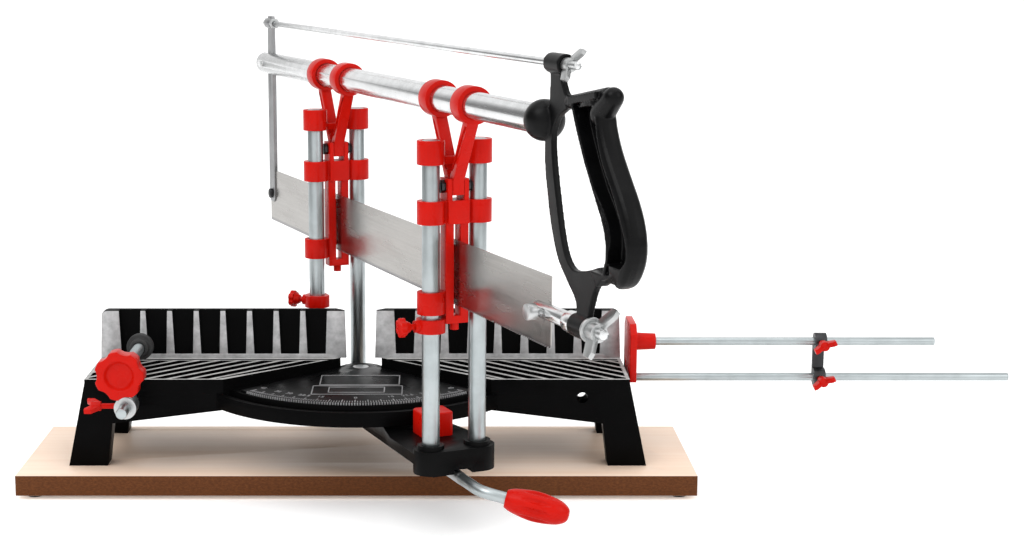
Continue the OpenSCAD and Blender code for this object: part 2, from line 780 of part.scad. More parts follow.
module collar(side, h_low, height, d) {
  translate([side * post_gap / 2, 0, up(h_low)]) cylinder(d = d, h = height);
}
module post_bores() {
  for (side = [-1, 1]) translate([side * post_gap / 2, 0, z_board])
    cylinder(d = post_d + 2 * run_fit, h = post_top_h + over);
}

module carriage() {
  rail_out = rail_gap / 2 + rail_w;
  foot_low = low_collar_z - 7;
  difference() {
    union() {
      for (side = [-1, 1]) {
        collar(side, collar_z, collar_h, collar_d);
        translate([side > 0 ? rail_gap / 2 : -rail_out, -rail_d / 2, up(foot_low)])
          cube([rail_w, rail_d, collar_z - foot_low + over]);
        translate([side > 0 ? lip_gap : -rail_gap / 2 - over, -1.5, up(teeth_h + 4)])
          cube([rail_gap / 2 - lip_gap + over, 3, blade_h - 8]);
        translate([side > 0 ? ear_in : -ear_out, -7, up(collar_z)])
          cube([ear_out - ear_in, 14, ear_top - collar_z]);
      }
      translate([-post_gap / 2, -5, up(collar_z)]) cube([post_gap, 10, collar_h]);
      translate([-ear_out, -8, up(collar_z)]) cube([2 * ear_out, 16, collar_h]);
      collar(-1, low_collar_z, low_collar_h, collar_d);
      translate([-post_gap / 2, -4, up(low_collar_z)]) cube([post_gap / 2 - rail_gap / 2, 8, low_collar_h]);
      translate([-rail_out, -rail_d / 2, up(foot_low)]) cube([2 * rail_out, rail_d, 5]);
      translate([0, 0, up(foot_low - 5)]) cylinder(d = 6, h = 6);
    }
    post_bores();
    across_saw(-post_gap, post_gap, 0, bolt_h, bolt_d + 2 * seat_fit);
  }
}

ring_d = tube_d + 2 * tube_fit + 2 * ring_wall;

module hanger() {
  top = tube_h - tube_d / 2 - tube_fit - 0.8;
  low = crotch_h - 2;
  difference() {
    union() {
      for (side = [-1, 1]) {
        along_saw(side * ring_gap / 2 - ring_l / 2, side * ring_gap / 2 + ring_l / 2, tube_h, ring_d);
        saw_plane(leg_across) polygon([[side * (ring_gap / 2 - leg_along / 2), top],
          [side * (ring_gap / 2 + leg_along / 2), top], [side * leg_along * 0.8, low], [-side * 0.6, low]]);
      }
      saw_plane(leg_across) polygon([[-7, collar_z + collar_h + 3.5], [7, collar_z + collar_h + 3.5],
        [7, crotch_h], [-7, crotch_h]]);
    }
    along_saw(-ring_gap, ring_gap, tube_h, tube_d + 2 * tube_fit);
    for (side = [-1, 1], face = [-1, 1]) translate([face * leg_across / 2, 0, 0]) saw_plane(2)
      polygon([[side * (ring_gap / 2 - 1.5), top - 4], [side * (ring_gap / 2 + 1.5), top - 4],
        [side * (leg_along * 0.45 + 3), crotch_h + 6], [side * (leg_along * 0.45), crotch_h + 6]]);
    across_saw(-post_gap, post_gap, 0, bolt_h, bolt_d + 2 * seat_fit);
  }
}

module top_guide() {
  low = post_top_h - top_guide_h;
  difference() {
    union() {
      for (side = [-1, 1]) collar(side, low, top_guide_h, collar_d);
      translate([-post_gap / 2, -bar_d / 2, up(low)]) cube([post_gap, bar_d, bar_t]);
    }
    post_bores();
  }
}

module hanger_bolts() {
  color(steel) on_arm() for (s = [front_reach, -rear_reach]) at_reach(s) {
    across_saw(-ear_out - bolt_head_h, ear_out + bolt_head_h, 0, bolt_h, bolt_d);
    for (x = [-ear_out - bolt_head_h, ear_out]) translate([x, 0, up(bolt_h)]) rotate([0, 90, 0])
      cylinder(d = bolt_d * 1.75, h = bolt_head_h, $fn = 6);
  }
}

// Depth stops

// Frame of a stop ring on the left post, with +X along its screw, away from the post
module at_stop(s, drop, turn) {
  on_arm() translate([-post_gap / 2, -s, up(low_collar_z - drop - stop_h)])
    rotate([0, 0, 180 - turn]) children();
}

stop_boss = 4;
// Distance from a post to the flat that passes beside the carriage's rail
rail_side = post_gap / 2 - rail_gap / 2 - rail_w - face_gap;

module depth_stop(turn) {
  difference() {
    union() {
      cylinder(d = stop_d, h = stop_h);
      translate([0, 0, stop_h / 2]) rotate([0, 90, 0]) cylinder(d = stop_h - 1, h = stop_d / 2 + stop_boss / 2);
    }
    translate([0, 0, -over]) cylinder(d = post_d + 2 * run_fit, h = stop_h + 2 * over);
    translate([0, 0, stop_h / 2]) rotate([0, 90, 0]) cylinder(d = stop_screw_d + 2 * run_fit, h = stop_d);
    rotate([0, 0, turn]) translate([-rail_side - stop_d, -stop_d, -over])
      cube([stop_d, 2 * stop_d, stop_h + 2 * over]);
  }
}

module stop_screw() {
  neck = 3;
  head_at = stop_d / 2 + stop_boss / 2 + neck;
  translate([0, 0, stop_h / 2]) rotate([0, 90, 0]) {
    translate([0, 0, post_d / 2 + face_gap]) cylinder(d = stop_screw_d, h = head_at - post_d / 2);
    translate([0, 0, head_at]) cylinder(d1 = stop_screw_d + 2, d2 = stop_head_d - 3, h = stop_head_t / 2);
    translate([0, 0, head_at + stop_head_t / 2]) linear_extrude(stop_head_t / 2) star(stop_head_d, 6, 0.8);
  }
}

// Saw frame and blade

blade_near = blade_l - blade_far;
far_s = blade_far - 7;
far_pin_h = teeth_h + 24;
near_pin_s = blade_near - 9;
pin_d = 5;
top_boss_s = ball_s + top_boss_reach;
low_boss_s = ball_s + low_boss_reach;
holder_step = 12;
rod_near = top_boss_s + top_boss_l + 14;
ball_mid = ball_s + 3.7;
holder_stud_d = 6;

module saw_tube() {
  slot_l = far_arm_w + 14;
  color(bright) on_arm() difference() {
    along_saw(-tube_far, ball_s, tube_h, tube_d);
    along_saw(-tube_far - over, ball_s + over, tube_h, tube_d - 2 * tube_wall);
    translate([-far_arm_t / 2 - seat_fit, far_s - far_arm_w / 2 - 2, up(tube_h - tube_d)])
      cube([far_arm_t + 2 * seat_fit, slot_l, 2 * tube_d]);
    across_saw(-tube_d, tube_d, -far_s, tube_h, pin_d + 2 * seat_fit);
  }
}

far_boss = far_arm_w * 0.35 + 1;

module far_arm() {
  top = rod_h + 6;
  low = far_pin_h - 7;
  side = blade_t / 2 + seat_fit;
  color([0.35, 0.36, 0.38]) on_arm() difference() {
    union() {
      along_saw(-far_s - far_boss, -far_s + far_boss, rod_h, 2 * rod_d);
      translate([0, far_s, 0]) saw_plane(far_arm_t) polygon([[-far_arm_w * 0.35, top], [far_arm_w * 0.35, top],
        [far_arm_w / 2, tube_h], [far_arm_w / 2, low + 3], [far_arm_w / 2 - 3, low],
        [-far_arm_w / 2 + 3, low], [-far_arm_w / 2, low + 3], [-far_arm_w / 2, tube_h]]);
    }
    across_saw(-tube_d, tube_d, -far_s, tube_h, pin_d + 2 * seat_fit);
    across_saw(-tube_d, tube_d, -far_s, far_pin_h, pin_d + 2 * seat_fit);
    translate([-side, far_s - far_arm_w, up(low) - over])
      cube([2 * side, 2 * far_arm_w, blade_top_h + 4 - low + over]);
    along_saw(-far_s - far_arm_w, -far_s + far_arm_w, rod_h, rod_d + 2 * seat_fit);
  }
}

module far_arm_pin() {
  color(steel) on_arm() across_saw(-tube_d / 2 - 1, tube_d / 2 + 1, -far_s, tube_h, pin_d);
}

module blade_far_pin() {
  color([0.1, 0.1, 0.1]) on_arm() {
    across_saw(-far_arm_t / 2 - 3, far_arm_t / 2 + 3, -far_s, far_pin_h, pin_d);
    across_saw(-far_arm_t / 2 - 2.5, -far_arm_t / 2, -far_s, far_pin_h, pin_d + 3);
    across_saw(far_arm_t / 2, far_arm_t / 2 + 2.5, -far_s, far_pin_h, pin_d + 3);
  }
}

module tension_rod() { color(bright) on_arm() along_saw(-far_s - 16, rod_near, rod_h, rod_d); }

module tension_nuts() {
  color(steel) on_arm() for (s = [-far_s - far_boss - seat_fit - 4, -far_s + far_boss + seat_fit])
    translate([0, -s, up(rod_h)]) rotate([90, 0, 0]) difference() {
      cylinder(d = rod_d * 2, h = 4, $fn = 6);
      translate([0, 0, -over]) cylinder(d = rod_d + 2 * seat_fit, h = 4 + 2 * over);
    }
}

module tension_wing_nut() {
  color(bright) on_arm() translate([0, -top_boss_s - top_boss_l - face_gap, up(rod_h)]) rotate([90, 0, 0])
    rotate([0, 0, 55]) difference() {
      wings(8, 6, 21, 2.6, 11);
      translate([0, 0, -over]) cylinder(d = rod_d + 2 * run_fit, h = 20);
    }
}

module blade() {
  teeth = floor(blade_l / tooth_pitch);
  gum = teeth_h + tooth_depth;
  color([0.66, 0.66, 0.66]) on_arm() difference() {
    saw_plane(blade_t) polygon(concat([[-blade_far, blade_top_h], [blade_near, blade_top_h]],
      [for (i = [0 : teeth - 1]) each [[blade_near - i * tooth_pitch, gum],
        [blade_near - (i + 0.75) * tooth_pitch, teeth_h]]],
      [[-blade_far, gum]]));
    across_saw(-5, 5, -far_s, far_pin_h, pin_d + 2 * seat_fit);
    across_saw(-5, 5, near_pin_s, holder_h, pin_d + 2 * seat_fit);
  }
}

module blade_holder() {
  slot = blade_t / 2 + seat_fit;
  step_s = low_boss_s - holder_step;
  color(bright) on_arm() difference() {
    union() {
      along_saw(near_pin_s - 8, step_s, holder_h, holder_d);
      along_saw(step_s - over, step_s + 3, holder_h, holder_d - 3);
      along_saw(step_s + 3, low_boss_s, holder_h, holder_d + 3);
      along_saw(low_boss_s - over, low_boss_s + low_boss_l + 16, holder_h, holder_stud_d);
    }
    translate([-slot, -blade_near - 0.5, up(holder_h - holder_d)])
      cube([2 * slot, blade_near - near_pin_s + 13, 2 * holder_d]);
    across_saw(-holder_d, holder_d, near_pin_s, holder_h, pin_d + 2 * seat_fit);
  }
}

module blade_near_pin() {
  head_h = 6;
  head_x = -holder_d / 2 - 1.5;
  color(bright) on_arm() {
    across_saw(head_x - over, holder_d / 2 + 1, near_pin_s, holder_h, pin_d);
    across_saw(head_x - head_h, head_x, near_pin_s, holder_h, pin_d * 2);
  }
}

module blade_washer() {
  color(bright) on_arm() difference() {
    along_saw(low_boss_s + low_boss_l, low_boss_s + low_boss_l + 2, holder_h, 15);
    along_saw(low_boss_s, low_boss_s + low_boss_l + 5, holder_h, holder_stud_d + 2 * seat_fit);
  }
}

module blade_wing_nut() {
  washer_out = low_boss_s + low_boss_l + 2;
  color(bright) on_arm() translate([0, -washer_out - face_gap, up(holder_h)]) rotate([90, 0, 0])
    rotate([0, 0, 55]) difference() {
      wings(11, 8, 31, 3, 14);
      translate([0, 0, -over]) cylinder(d = holder_stud_d + 2 * run_fit, h = 24);
    }
}

// Handle

// The handle is drawn for a tube 113.7 above the blade holder, and grows with that distance
handle_scale = (tube_h - holder_h) / 113.7;
// Places drawn as (distance along the saw, height) from the tube's end, the top boss and the lower boss
function by_tube(p) = [ball_s + p[0] * handle_scale, tube_h + p[1] * handle_scale];
function by_rod(p) = [top_boss_s + p[0] * handle_scale, rod_h + p[1] * handle_scale];
function by_holder(p) = [low_boss_s + p[0] * handle_scale, holder_h + p[1] * handle_scale];
function all_by_tube(points) = [for (p = points) by_tube(p)];

// Outline of the handle's web, down its front and up its back
web_front_mid = [[8.7, -12], [9, -27.2], [12, -40.2], [17, -58.2], [26, -77.2], [39, -89.7]];
web_back_mid = [[76, -86.7], [88, -83.2], [96, -80.2], [94, -74.2], [80, -75.2], [70, -78.2], [60, -80.7],
  [49, -82.2],
  [41.5, -79.7], [35, -72.7], [29.5, -60.2], [25, -45.2], [20, -27.2], [17.5, -11.2], [19.5, -3.2],
  [25, 3.8], [35, 8.8], [48, 11.8], [76, 18.8], [78, 22.8], [58, 20.3], [40, 17.3], [33, 18.8]];
web_front = concat([by_rod([2, -4]), by_rod([1.5, -21])], all_by_tube(web_front_mid),
  [by_holder([1, 14]), by_holder([3, 3])]);
web_back = concat([by_holder([low_boss_l - 1, 3]), by_holder([low_boss_l + 2, 14])], all_by_tube(web_back_mid),
  [by_rod([top_boss_l - 5, -4])]);

// Grip: place from the tube's end, half depth along the saw and share of the full thickness across it
grip_drawn = [[67, 17.3, 9, 0.75], [68.5, 11.8, 14, 0.95], [72.5, -1.2, 13.6, 1], [80, -14.2, 12.8, 1],
  [90.5, -27.7, 12.6, 1], [101.5, -40.7, 12.2, 1], [107, -51.2, 12.8, 1], [108.5, -61.2, 13.2, 1],
  [106.5, -69.7, 11.5, 1], [103.5, -77.2, 8.5, 0.9], [101.5, -81.2, 4.5, 0.6]];
grip_path = [for (p = grip_drawn) concat(by_tube(p), [p[2] * handle_scale, p[3]])];
trough_in = all_by_tube([[54.5, 11.3], [60.5, -2.2], [68, -15.7], [78, -29.2], [90.5, -42.7], [96.3, -52.2],
  [97.5, -61.2],
  [95, -70.7]]);
trough_out = all_by_tube([[112, -70.7], [117, -65.2], [116.5, -56.2], [112, -46.2], [102, -31.2], [90.5, -17.2],
  [82.5, -3.2],
  [79.5, 7.8], [79, 15.3]]);

bar_sides = 16;

// A bar with round ends in the plane of the saw, between two places drawn from the tube's end
module rounded_bar(a, b, r_from, r_to) {
  from = by_tube(a);
  step = by_tube(b) - from;
  translate([0, -from[0], up(from[1])]) rotate([atan2(step[0], step[1]), 0, 0]) {
    sphere(r_from, $fn = bar_sides);
    translate([0, 0, norm(step)]) sphere(r_to, $fn = bar_sides);
    cylinder(r1 = r_from, r2 = r_to, h = norm(step), $fn = bar_sides);
  }
}

// A sine that stays near its ends for longer, for sections between an oval and a box
function boxy(v) = sign(v) * pow(abs(v), 0.6);

// A smooth body along a path in the plane of the saw, with rounded-box sections
module saw_sweep(path, steps, sides) {
  p = open_curve(path, steps);
  n = len(p);
  function heading(i) = let (a = p[max(i - 1, 0)], b = p[min(i + 1, n - 1)]) atan2(b[1] - a[1], b[0] - a[0]);
  points = [for (i = [0 : n - 1], k = [0 : sides - 1]) let (h = heading(i) + 90, t = 360 * k / sides)
    let (a = boxy(sin(t)), b = boxy(cos(t)))
    [p[i][3] * grip_half * a, -(p[i][0] + p[i][2] * b * cos(h)), z_board + p[i][1] + p[i][2] * b * sin(h)]];
  walls = [for (i = [0 : n - 2], k = [0 : sides - 1]) let (a = i * sides + k, b = i * sides + (k + 1) % sides)
    each [[a, b, a + sides], [b, b + sides, a + sides]]];
  first = [for (k = [1 : sides - 2]) [0, k + 1, k]];
  last = [for (k = [1 : sides - 2]) [(n - 1) * sides, (n - 1) * sides + k, (n - 1) * sides + k + 1]];
  polyhedron(points, concat(walls, first, last));
}

module handle() {
  color(part_black) on_arm() difference() {
    union() {
      saw_plane(web_t) polygon(concat(open_curve(web_front, 4), open_curve(web_back, 3)));
      difference() {
        saw_sweep(grip_path, 3, 16);
        translate([-grip_half, 0, 0]) saw_plane(2 * (2 * grip_half - trough_floor))
          polygon(concat(open_curve(trough_in, 3), open_curve(trough_out, 3)));
      }
      translate([0, -ball_mid, up(tube_h)]) sphere(ball_r, $fn = 36);
      rounded_bar([99, -77.2], [80, -80.2], 5.5, 2.5);
      rounded_bar([38, 13.3], [83, 21.3], web_t, web_t);
      rounded_bar([76, 9.8], [88.5, 19.8], grip_half - 0.5, grip_half * 0.8);
      along_saw(top_boss_s, top_boss_s + top_boss_l, rod_h, top_boss_d);
      along_saw(low_boss_s, low_boss_s + low_boss_l, holder_h, low_boss_d);
    }
    along_saw(ball_s - 2 * ball_r, ball_s + seat_fit, tube_h, tube_d + 2 * seat_fit);
    along_saw(top_boss_s - over, top_boss_s + top_boss_l + over, rod_h, rod_d + 2 * seat_fit);
    along_saw(low_boss_s - over, low_boss_s + low_boss_l + over, holder_h, holder_stud_d + 2 * seat_fit);
  }
}

// Work clamp

module clamp_place(h) { translate([-clamp_x, 0, up(h)]) children(); }
module along_y(y_front, y_back, d) {
  translate([0, y_front, 0]) rotate([-90, 0, 0]) cylinder(d = d, h = y_back - y_front);
}

clamp_rod_in = table_front - socket_l - 6;
collar_out_d = 16;
pad_cup = 5;
screw_out = 113;
wing_stud_d = 4;

module clamp_rod() {
  color(bright) clamp_place(clamp_rod_h) along_y(-clamp_rod_out, -clamp_rod_in, clamp_rod_d);
}

module clamp_arm() {
  post_w = 9;
  color(steel) difference() {
    union() {
      clamp_place(clamp_rod_h) along_y(-clamp_arm_out, -clamp_arm_out + clamp_arm_l, collar_out_d);
      clamp_place(clamp_screw_h) along_y(-clamp_arm_out, -clamp_arm_out + clamp_arm_l, collar_out_d - 2);
      translate([-clamp_x - post_w / 2, -clamp_arm_out + 2, up(clamp_rod_h)])
        cube([post_w, clamp_arm_l - 4, clamp_screw_h - clamp_rod_h]);
    }
    clamp_place(clamp_rod_h) along_y(-clamp_arm_out - over, 0, clamp_rod_d + 2 * run_fit);
    clamp_place(clamp_screw_h) along_y(-clamp_arm_out - over, 0, clamp_screw_d + 2 * run_fit);
    translate([-clamp_x, -clamp_arm_out + clamp_arm_l / 2, up(clamp_rod_h)]) rotate([0, -90, 0])
      cylinder(d = wing_stud_d + 2 * run_fit, h = collar_out_d);
  }
}

module clamp_screw() {
  color(bright) clamp_place(clamp_screw_h)
    along_y(-screw_out, -pad_gap - pad_t + pad_cup - face_gap, clamp_screw_d);
}

module clamp_knob() {
  dish = 3;
  color(part_red) clamp_place(clamp_screw_h) translate([0, -screw_out + 5, 0]) rotate([90, 0, 0]) difference() {
    union() {
      linear_extrude(knob_t) star(knob_d, knob_lobes, 2);
      translate([0, 0, -3]) cylinder(d = knob_d * 0.5, h = 4);
    }
    translate([0, 0, knob_t - dish]) cylinder(d1 = knob_d * 0.5, d2 = knob_d * 0.62, h = dish + 0.01);
    translate([0, 0, -4]) cylinder(d = clamp_screw_d + 2 * seat_fit, h = 9);
  }
}

module clamp_pad() {
  color([0.05, 0.05, 0.05]) clamp_place(clamp_screw_h) difference() {
    union() {
      along_y(-pad_gap - pad_t, -pad_gap, pad_d * 0.7);
      along_y(-pad_gap - pad_t * 0.55, -pad_gap, pad_d);
    }
    along_y(-pad_gap - pad_t - over, -pad_gap - pad_t + pad_cup, clamp_screw_d + 2 * run_fit);
  }
}

module wing_screw(reach) {
  translate([0, 0, -reach]) cylinder(d = wing_stud_d, h = reach + over);
  wings(7, 7, 17, 3.4, 11);
}

module clamp_wing_screw() {
  reach = 14;
  side = -clamp_x - clamp_rod_d / 2 - face_gap - reach;
  color(part_red) translate([side, -clamp_arm_out + clamp_arm_l / 2, up(clamp_rod_h)])
    rotate([0, -90, 0]) rotate([0, 0, 75]) wing_screw(reach);
}

// Length stop

eye_d = stop_rod_d + 7;
plate_x = half_l + 2.4;

module stop_place(h) { translate([0, -stop_y, up(h)]) rotate([0, 90, 0]) children(); }

module stop_lower_rod() {
  color(bright) stop_place(low_rod_h) translate([0, 0, half_l - low_rod_inside])
    cylinder(d = stop_rod_d, h = low_rod_end - half_l + low_rod_inside);
}

module stop_upper_rod() {
  color(bright) stop_place(low_rod_h + rods_gap) translate([0, 0, plate_x + stop_plate_t])
    cylinder(d = stop_rod_d, h = up_rod_end - plate_x - stop_plate_t);
}

module stop_plate() {
  cut = 7;
  low = low_rod_h + rods_gap - stop_plate_h * 0.62;
  color(part_red) difference() {
    union() {
      translate([plate_x, -stop_y, up(low)]) rotate([90, 0, 90]) linear_extrude(stop_plate_t)
        polygon([[-stop_plate_d / 2, 0], [stop_plate_d / 2, 0], [stop_plate_d / 2, stop_plate_h - cut],
          [stop_plate_d / 2 - cut, stop_plate_h], [cut - stop_plate_d / 2, stop_plate_h],
          [-stop_plate_d / 2, stop_plate_h - cut]]);
      stop_place(low_rod_h + rods_gap) translate([0, 0, plate_x])
        cylinder(d1 = stop_rod_d + 8, d2 = stop_rod_d + 6, h = stop_plate_t + hub_l);
    }
    stop_place(low_rod_h + rods_gap) translate([0, 0, plate_x + stop_plate_t])
      cylinder(d = stop_rod_d + 2 * seat_fit, h = hub_l + over);
    stop_place(low_rod_h) translate([0, 0, plate_x - over])
      cylinder(d = stop_rod_d + 4 * face_gap, h = stop_plate_t + 2 * over);
  }
}

link_screw_reach = 9;

module stop_link() {
  color([0.3, 0.3, 0.31]) difference() {
    union() {
      for (h = [low_rod_h, low_rod_h + rods_gap]) stop_place(h) translate([0, 0, link_x - link_w / 2])
        cylinder(d = eye_d, h = link_w);
      translate([link_x - link_w / 2, -stop_y, up(low_rod_h)]) cube([link_w, eye_d / 2, rods_gap]);
    }
    for (h = [low_rod_h, low_rod_h + rods_gap]) {
      stop_place(h) translate([0, 0, link_x - link_w]) cylinder(d = stop_rod_d + 2 * run_fit, h = 2 * link_w);
      translate([link_x, -stop_y, up(h)]) rotate([90, 0, 0]) cylinder(d = wing_stud_d + 2 * run_fit, h = eye_d);
    }
    translate([link_x - link_w, -stop_y - over, up(low_rod_h) + eye_d / 2])
      cube([2 * link_w, eye_d / 2 + over - 3, rods_gap - eye_d]);
  }
}

module link_screw(h) {
  color(part_red) translate([link_x, -stop_y - stop_rod_d / 2 - face_gap - link_screw_reach, up(h)])
    rotate([90, 0, 0]) rotate([0, 0, 25]) wing_screw(link_screw_reach);
}

base_board();
rubber_feet();
board_screws();
base_casting();
fence_left();
fence_right();
fence_screws();
scale_plate();
pivot_bolt();
swing_arm();
post(-1, front_reach);  // front_left_post
post(1, front_reach);  // front_right_post
post(-1, -rear_reach);  // rear_left_post
post(1, -rear_reach);  // rear_right_post
color(part_red) on_arm() at_reach(front_reach) top_guide();  // front_top_guide
color(part_red) on_arm() at_reach(-rear_reach) top_guide();  // rear_top_guide
color(part_red) on_arm() at_reach(front_reach) carriage();  // front_carriage
color(part_red) on_arm() at_reach(-rear_reach) carriage();  // rear_carriage
color(part_red) on_arm() at_reach(front_reach) hanger();  // front_hanger
color(part_red) on_arm() at_reach(-rear_reach) hanger();  // rear_hanger
hanger_bolts();
color(part_red) at_stop(front_reach, front_stop_drop, 0) depth_stop(0);  // front_depth_stop
color(part_red) at_stop(-rear_reach, rear_stop_drop, rear_stop_turn) depth_stop(rear_stop_turn);  // rear_depth_stop
color(part_red) at_stop(front_reach, front_stop_drop, 0) stop_screw();  // front_stop_screw
color(part_red) at_stop(-rear_reach, rear_stop_drop, rear_stop_turn) stop_screw();  // rear_stop_screw
index_pawl();
clamp_lever();
lever_grip();
saw_tube();
handle();
far_arm();
far_arm_pin();
tension_rod();
tension_nuts();
tension_wing_nut();
blade();
blade_far_pin();
blade_holder();
blade_near_pin();
blade_washer();
blade_wing_nut();
clamp_rod();
clamp_arm();
clamp_screw();
clamp_knob();
clamp_pad();
clamp_wing_screw();
stop_lower_rod();
stop_link();
stop_upper_rod();
stop_plate();
link_screw(low_rod_h);  // link_lower_screw
link_screw(low_rod_h + rods_gap);  // link_upper_screw
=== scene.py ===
"""Looks of a manual mitre saw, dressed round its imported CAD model.

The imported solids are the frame. Each shown solid is copied, its facets are merged, its edges are
rounded and it gets a finish made of nodes. The flutes of the lever's grip and the thin walls of the
saw's handle are worked into their copies. Screw threads and dial marks are pieces of their own, which
ride on the same bodies.
"""

from __future__ import annotations

import json
import logging
import math
from dataclasses import dataclass, field
from enum import Enum
from typing import Protocol, Sequence

import bpy
from mathutils import Matrix, Vector
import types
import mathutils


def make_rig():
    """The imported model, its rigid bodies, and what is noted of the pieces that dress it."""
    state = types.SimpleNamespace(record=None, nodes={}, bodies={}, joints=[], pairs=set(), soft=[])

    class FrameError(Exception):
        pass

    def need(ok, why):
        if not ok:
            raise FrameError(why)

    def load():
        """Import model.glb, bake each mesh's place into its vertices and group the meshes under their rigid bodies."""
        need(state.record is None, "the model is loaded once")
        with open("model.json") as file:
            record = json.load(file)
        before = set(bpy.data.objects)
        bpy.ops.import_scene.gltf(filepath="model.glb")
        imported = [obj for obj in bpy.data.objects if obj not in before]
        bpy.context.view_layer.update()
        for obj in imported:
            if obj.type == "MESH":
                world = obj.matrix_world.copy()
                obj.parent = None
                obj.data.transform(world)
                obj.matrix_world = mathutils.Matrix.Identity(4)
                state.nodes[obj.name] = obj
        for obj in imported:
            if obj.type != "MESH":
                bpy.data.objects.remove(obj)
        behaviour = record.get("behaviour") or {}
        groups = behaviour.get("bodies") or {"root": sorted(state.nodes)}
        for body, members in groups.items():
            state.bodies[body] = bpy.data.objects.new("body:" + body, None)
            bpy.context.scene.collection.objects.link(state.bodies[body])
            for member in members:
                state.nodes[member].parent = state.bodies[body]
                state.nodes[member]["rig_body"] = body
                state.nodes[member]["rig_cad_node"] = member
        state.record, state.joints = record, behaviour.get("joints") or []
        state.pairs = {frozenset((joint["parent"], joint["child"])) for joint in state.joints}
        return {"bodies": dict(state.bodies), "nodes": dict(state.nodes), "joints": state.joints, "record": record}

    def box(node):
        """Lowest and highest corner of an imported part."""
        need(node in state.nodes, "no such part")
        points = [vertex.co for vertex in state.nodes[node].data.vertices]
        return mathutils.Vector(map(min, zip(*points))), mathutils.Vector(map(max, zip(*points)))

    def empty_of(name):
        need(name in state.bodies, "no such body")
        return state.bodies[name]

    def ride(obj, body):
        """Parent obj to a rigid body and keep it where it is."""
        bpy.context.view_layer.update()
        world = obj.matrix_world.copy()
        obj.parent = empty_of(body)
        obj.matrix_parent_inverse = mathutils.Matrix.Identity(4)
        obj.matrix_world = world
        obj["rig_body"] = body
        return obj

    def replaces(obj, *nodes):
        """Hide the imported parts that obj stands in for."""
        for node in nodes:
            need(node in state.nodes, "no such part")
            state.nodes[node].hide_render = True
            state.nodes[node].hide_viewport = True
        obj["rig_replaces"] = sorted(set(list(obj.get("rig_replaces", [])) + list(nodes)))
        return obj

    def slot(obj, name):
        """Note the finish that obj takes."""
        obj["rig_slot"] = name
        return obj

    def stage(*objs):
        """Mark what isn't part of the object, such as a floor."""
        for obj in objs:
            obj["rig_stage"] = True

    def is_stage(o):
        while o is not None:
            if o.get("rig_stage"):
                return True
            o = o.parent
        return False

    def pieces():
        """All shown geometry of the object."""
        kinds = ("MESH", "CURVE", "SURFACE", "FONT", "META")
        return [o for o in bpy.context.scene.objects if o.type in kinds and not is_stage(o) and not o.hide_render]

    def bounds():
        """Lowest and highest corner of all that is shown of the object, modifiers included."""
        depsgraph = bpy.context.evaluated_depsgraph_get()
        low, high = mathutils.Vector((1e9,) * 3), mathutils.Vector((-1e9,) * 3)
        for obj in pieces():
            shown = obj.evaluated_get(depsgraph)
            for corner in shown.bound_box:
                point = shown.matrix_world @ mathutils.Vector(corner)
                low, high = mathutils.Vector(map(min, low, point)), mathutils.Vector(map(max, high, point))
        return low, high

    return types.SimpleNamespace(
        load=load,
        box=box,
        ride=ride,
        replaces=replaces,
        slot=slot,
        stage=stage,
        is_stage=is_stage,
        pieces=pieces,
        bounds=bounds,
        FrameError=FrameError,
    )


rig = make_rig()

LOG = logging.getLogger("mitre_saw")
MM = 0.001
WELD = 0.000002
FINE_WELD = 0.000001
FLAT_ANGLE = math.radians(0.6)
SIZE_FILE = "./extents.json"

BOARD_TOP = 18.0
TABLE_TOP = 83.3
SWING = math.radians(22.5)

Vec = tuple[float, float, float]
Point = tuple[float, float]
Colour = tuple[float, float, float, float]


def mm(*values: float) -> Vector:
    """Turns millimetres into a vector in metres."""
    return Vector(values) * MM


def shade(colour: Colour, factor: float) -> Colour:
    """Gives a lighter or darker shade of a colour."""
    return tuple(min(1.0, part * factor) for part in colour[:3]) + (1.0,)


def arm_matrix() -> Matrix:
    """Gives the turn of the swing arm's frame, whose -Y runs along the saw."""
    return Matrix.Rotation(SWING, 4, "Z")


def along_saw(across: float, distance: float, height: float) -> Vector:
    """Places a point of the swing arm's frame.

    Args:
        across: Offset to the right of the saw's plane, in millimetres.
        distance: Distance from the pivot towards the user, in millimetres.
        height: Height above the base board, in millimetres.

    Returns:
        The point in the row frame, in metres.
    """
    return arm_matrix() @ mm(across, -distance, BOARD_TOP + height)


class Mode(Enum):
    """Blender's two working modes used here."""

    OBJECT = "OBJECT"
    EDIT = "EDIT"


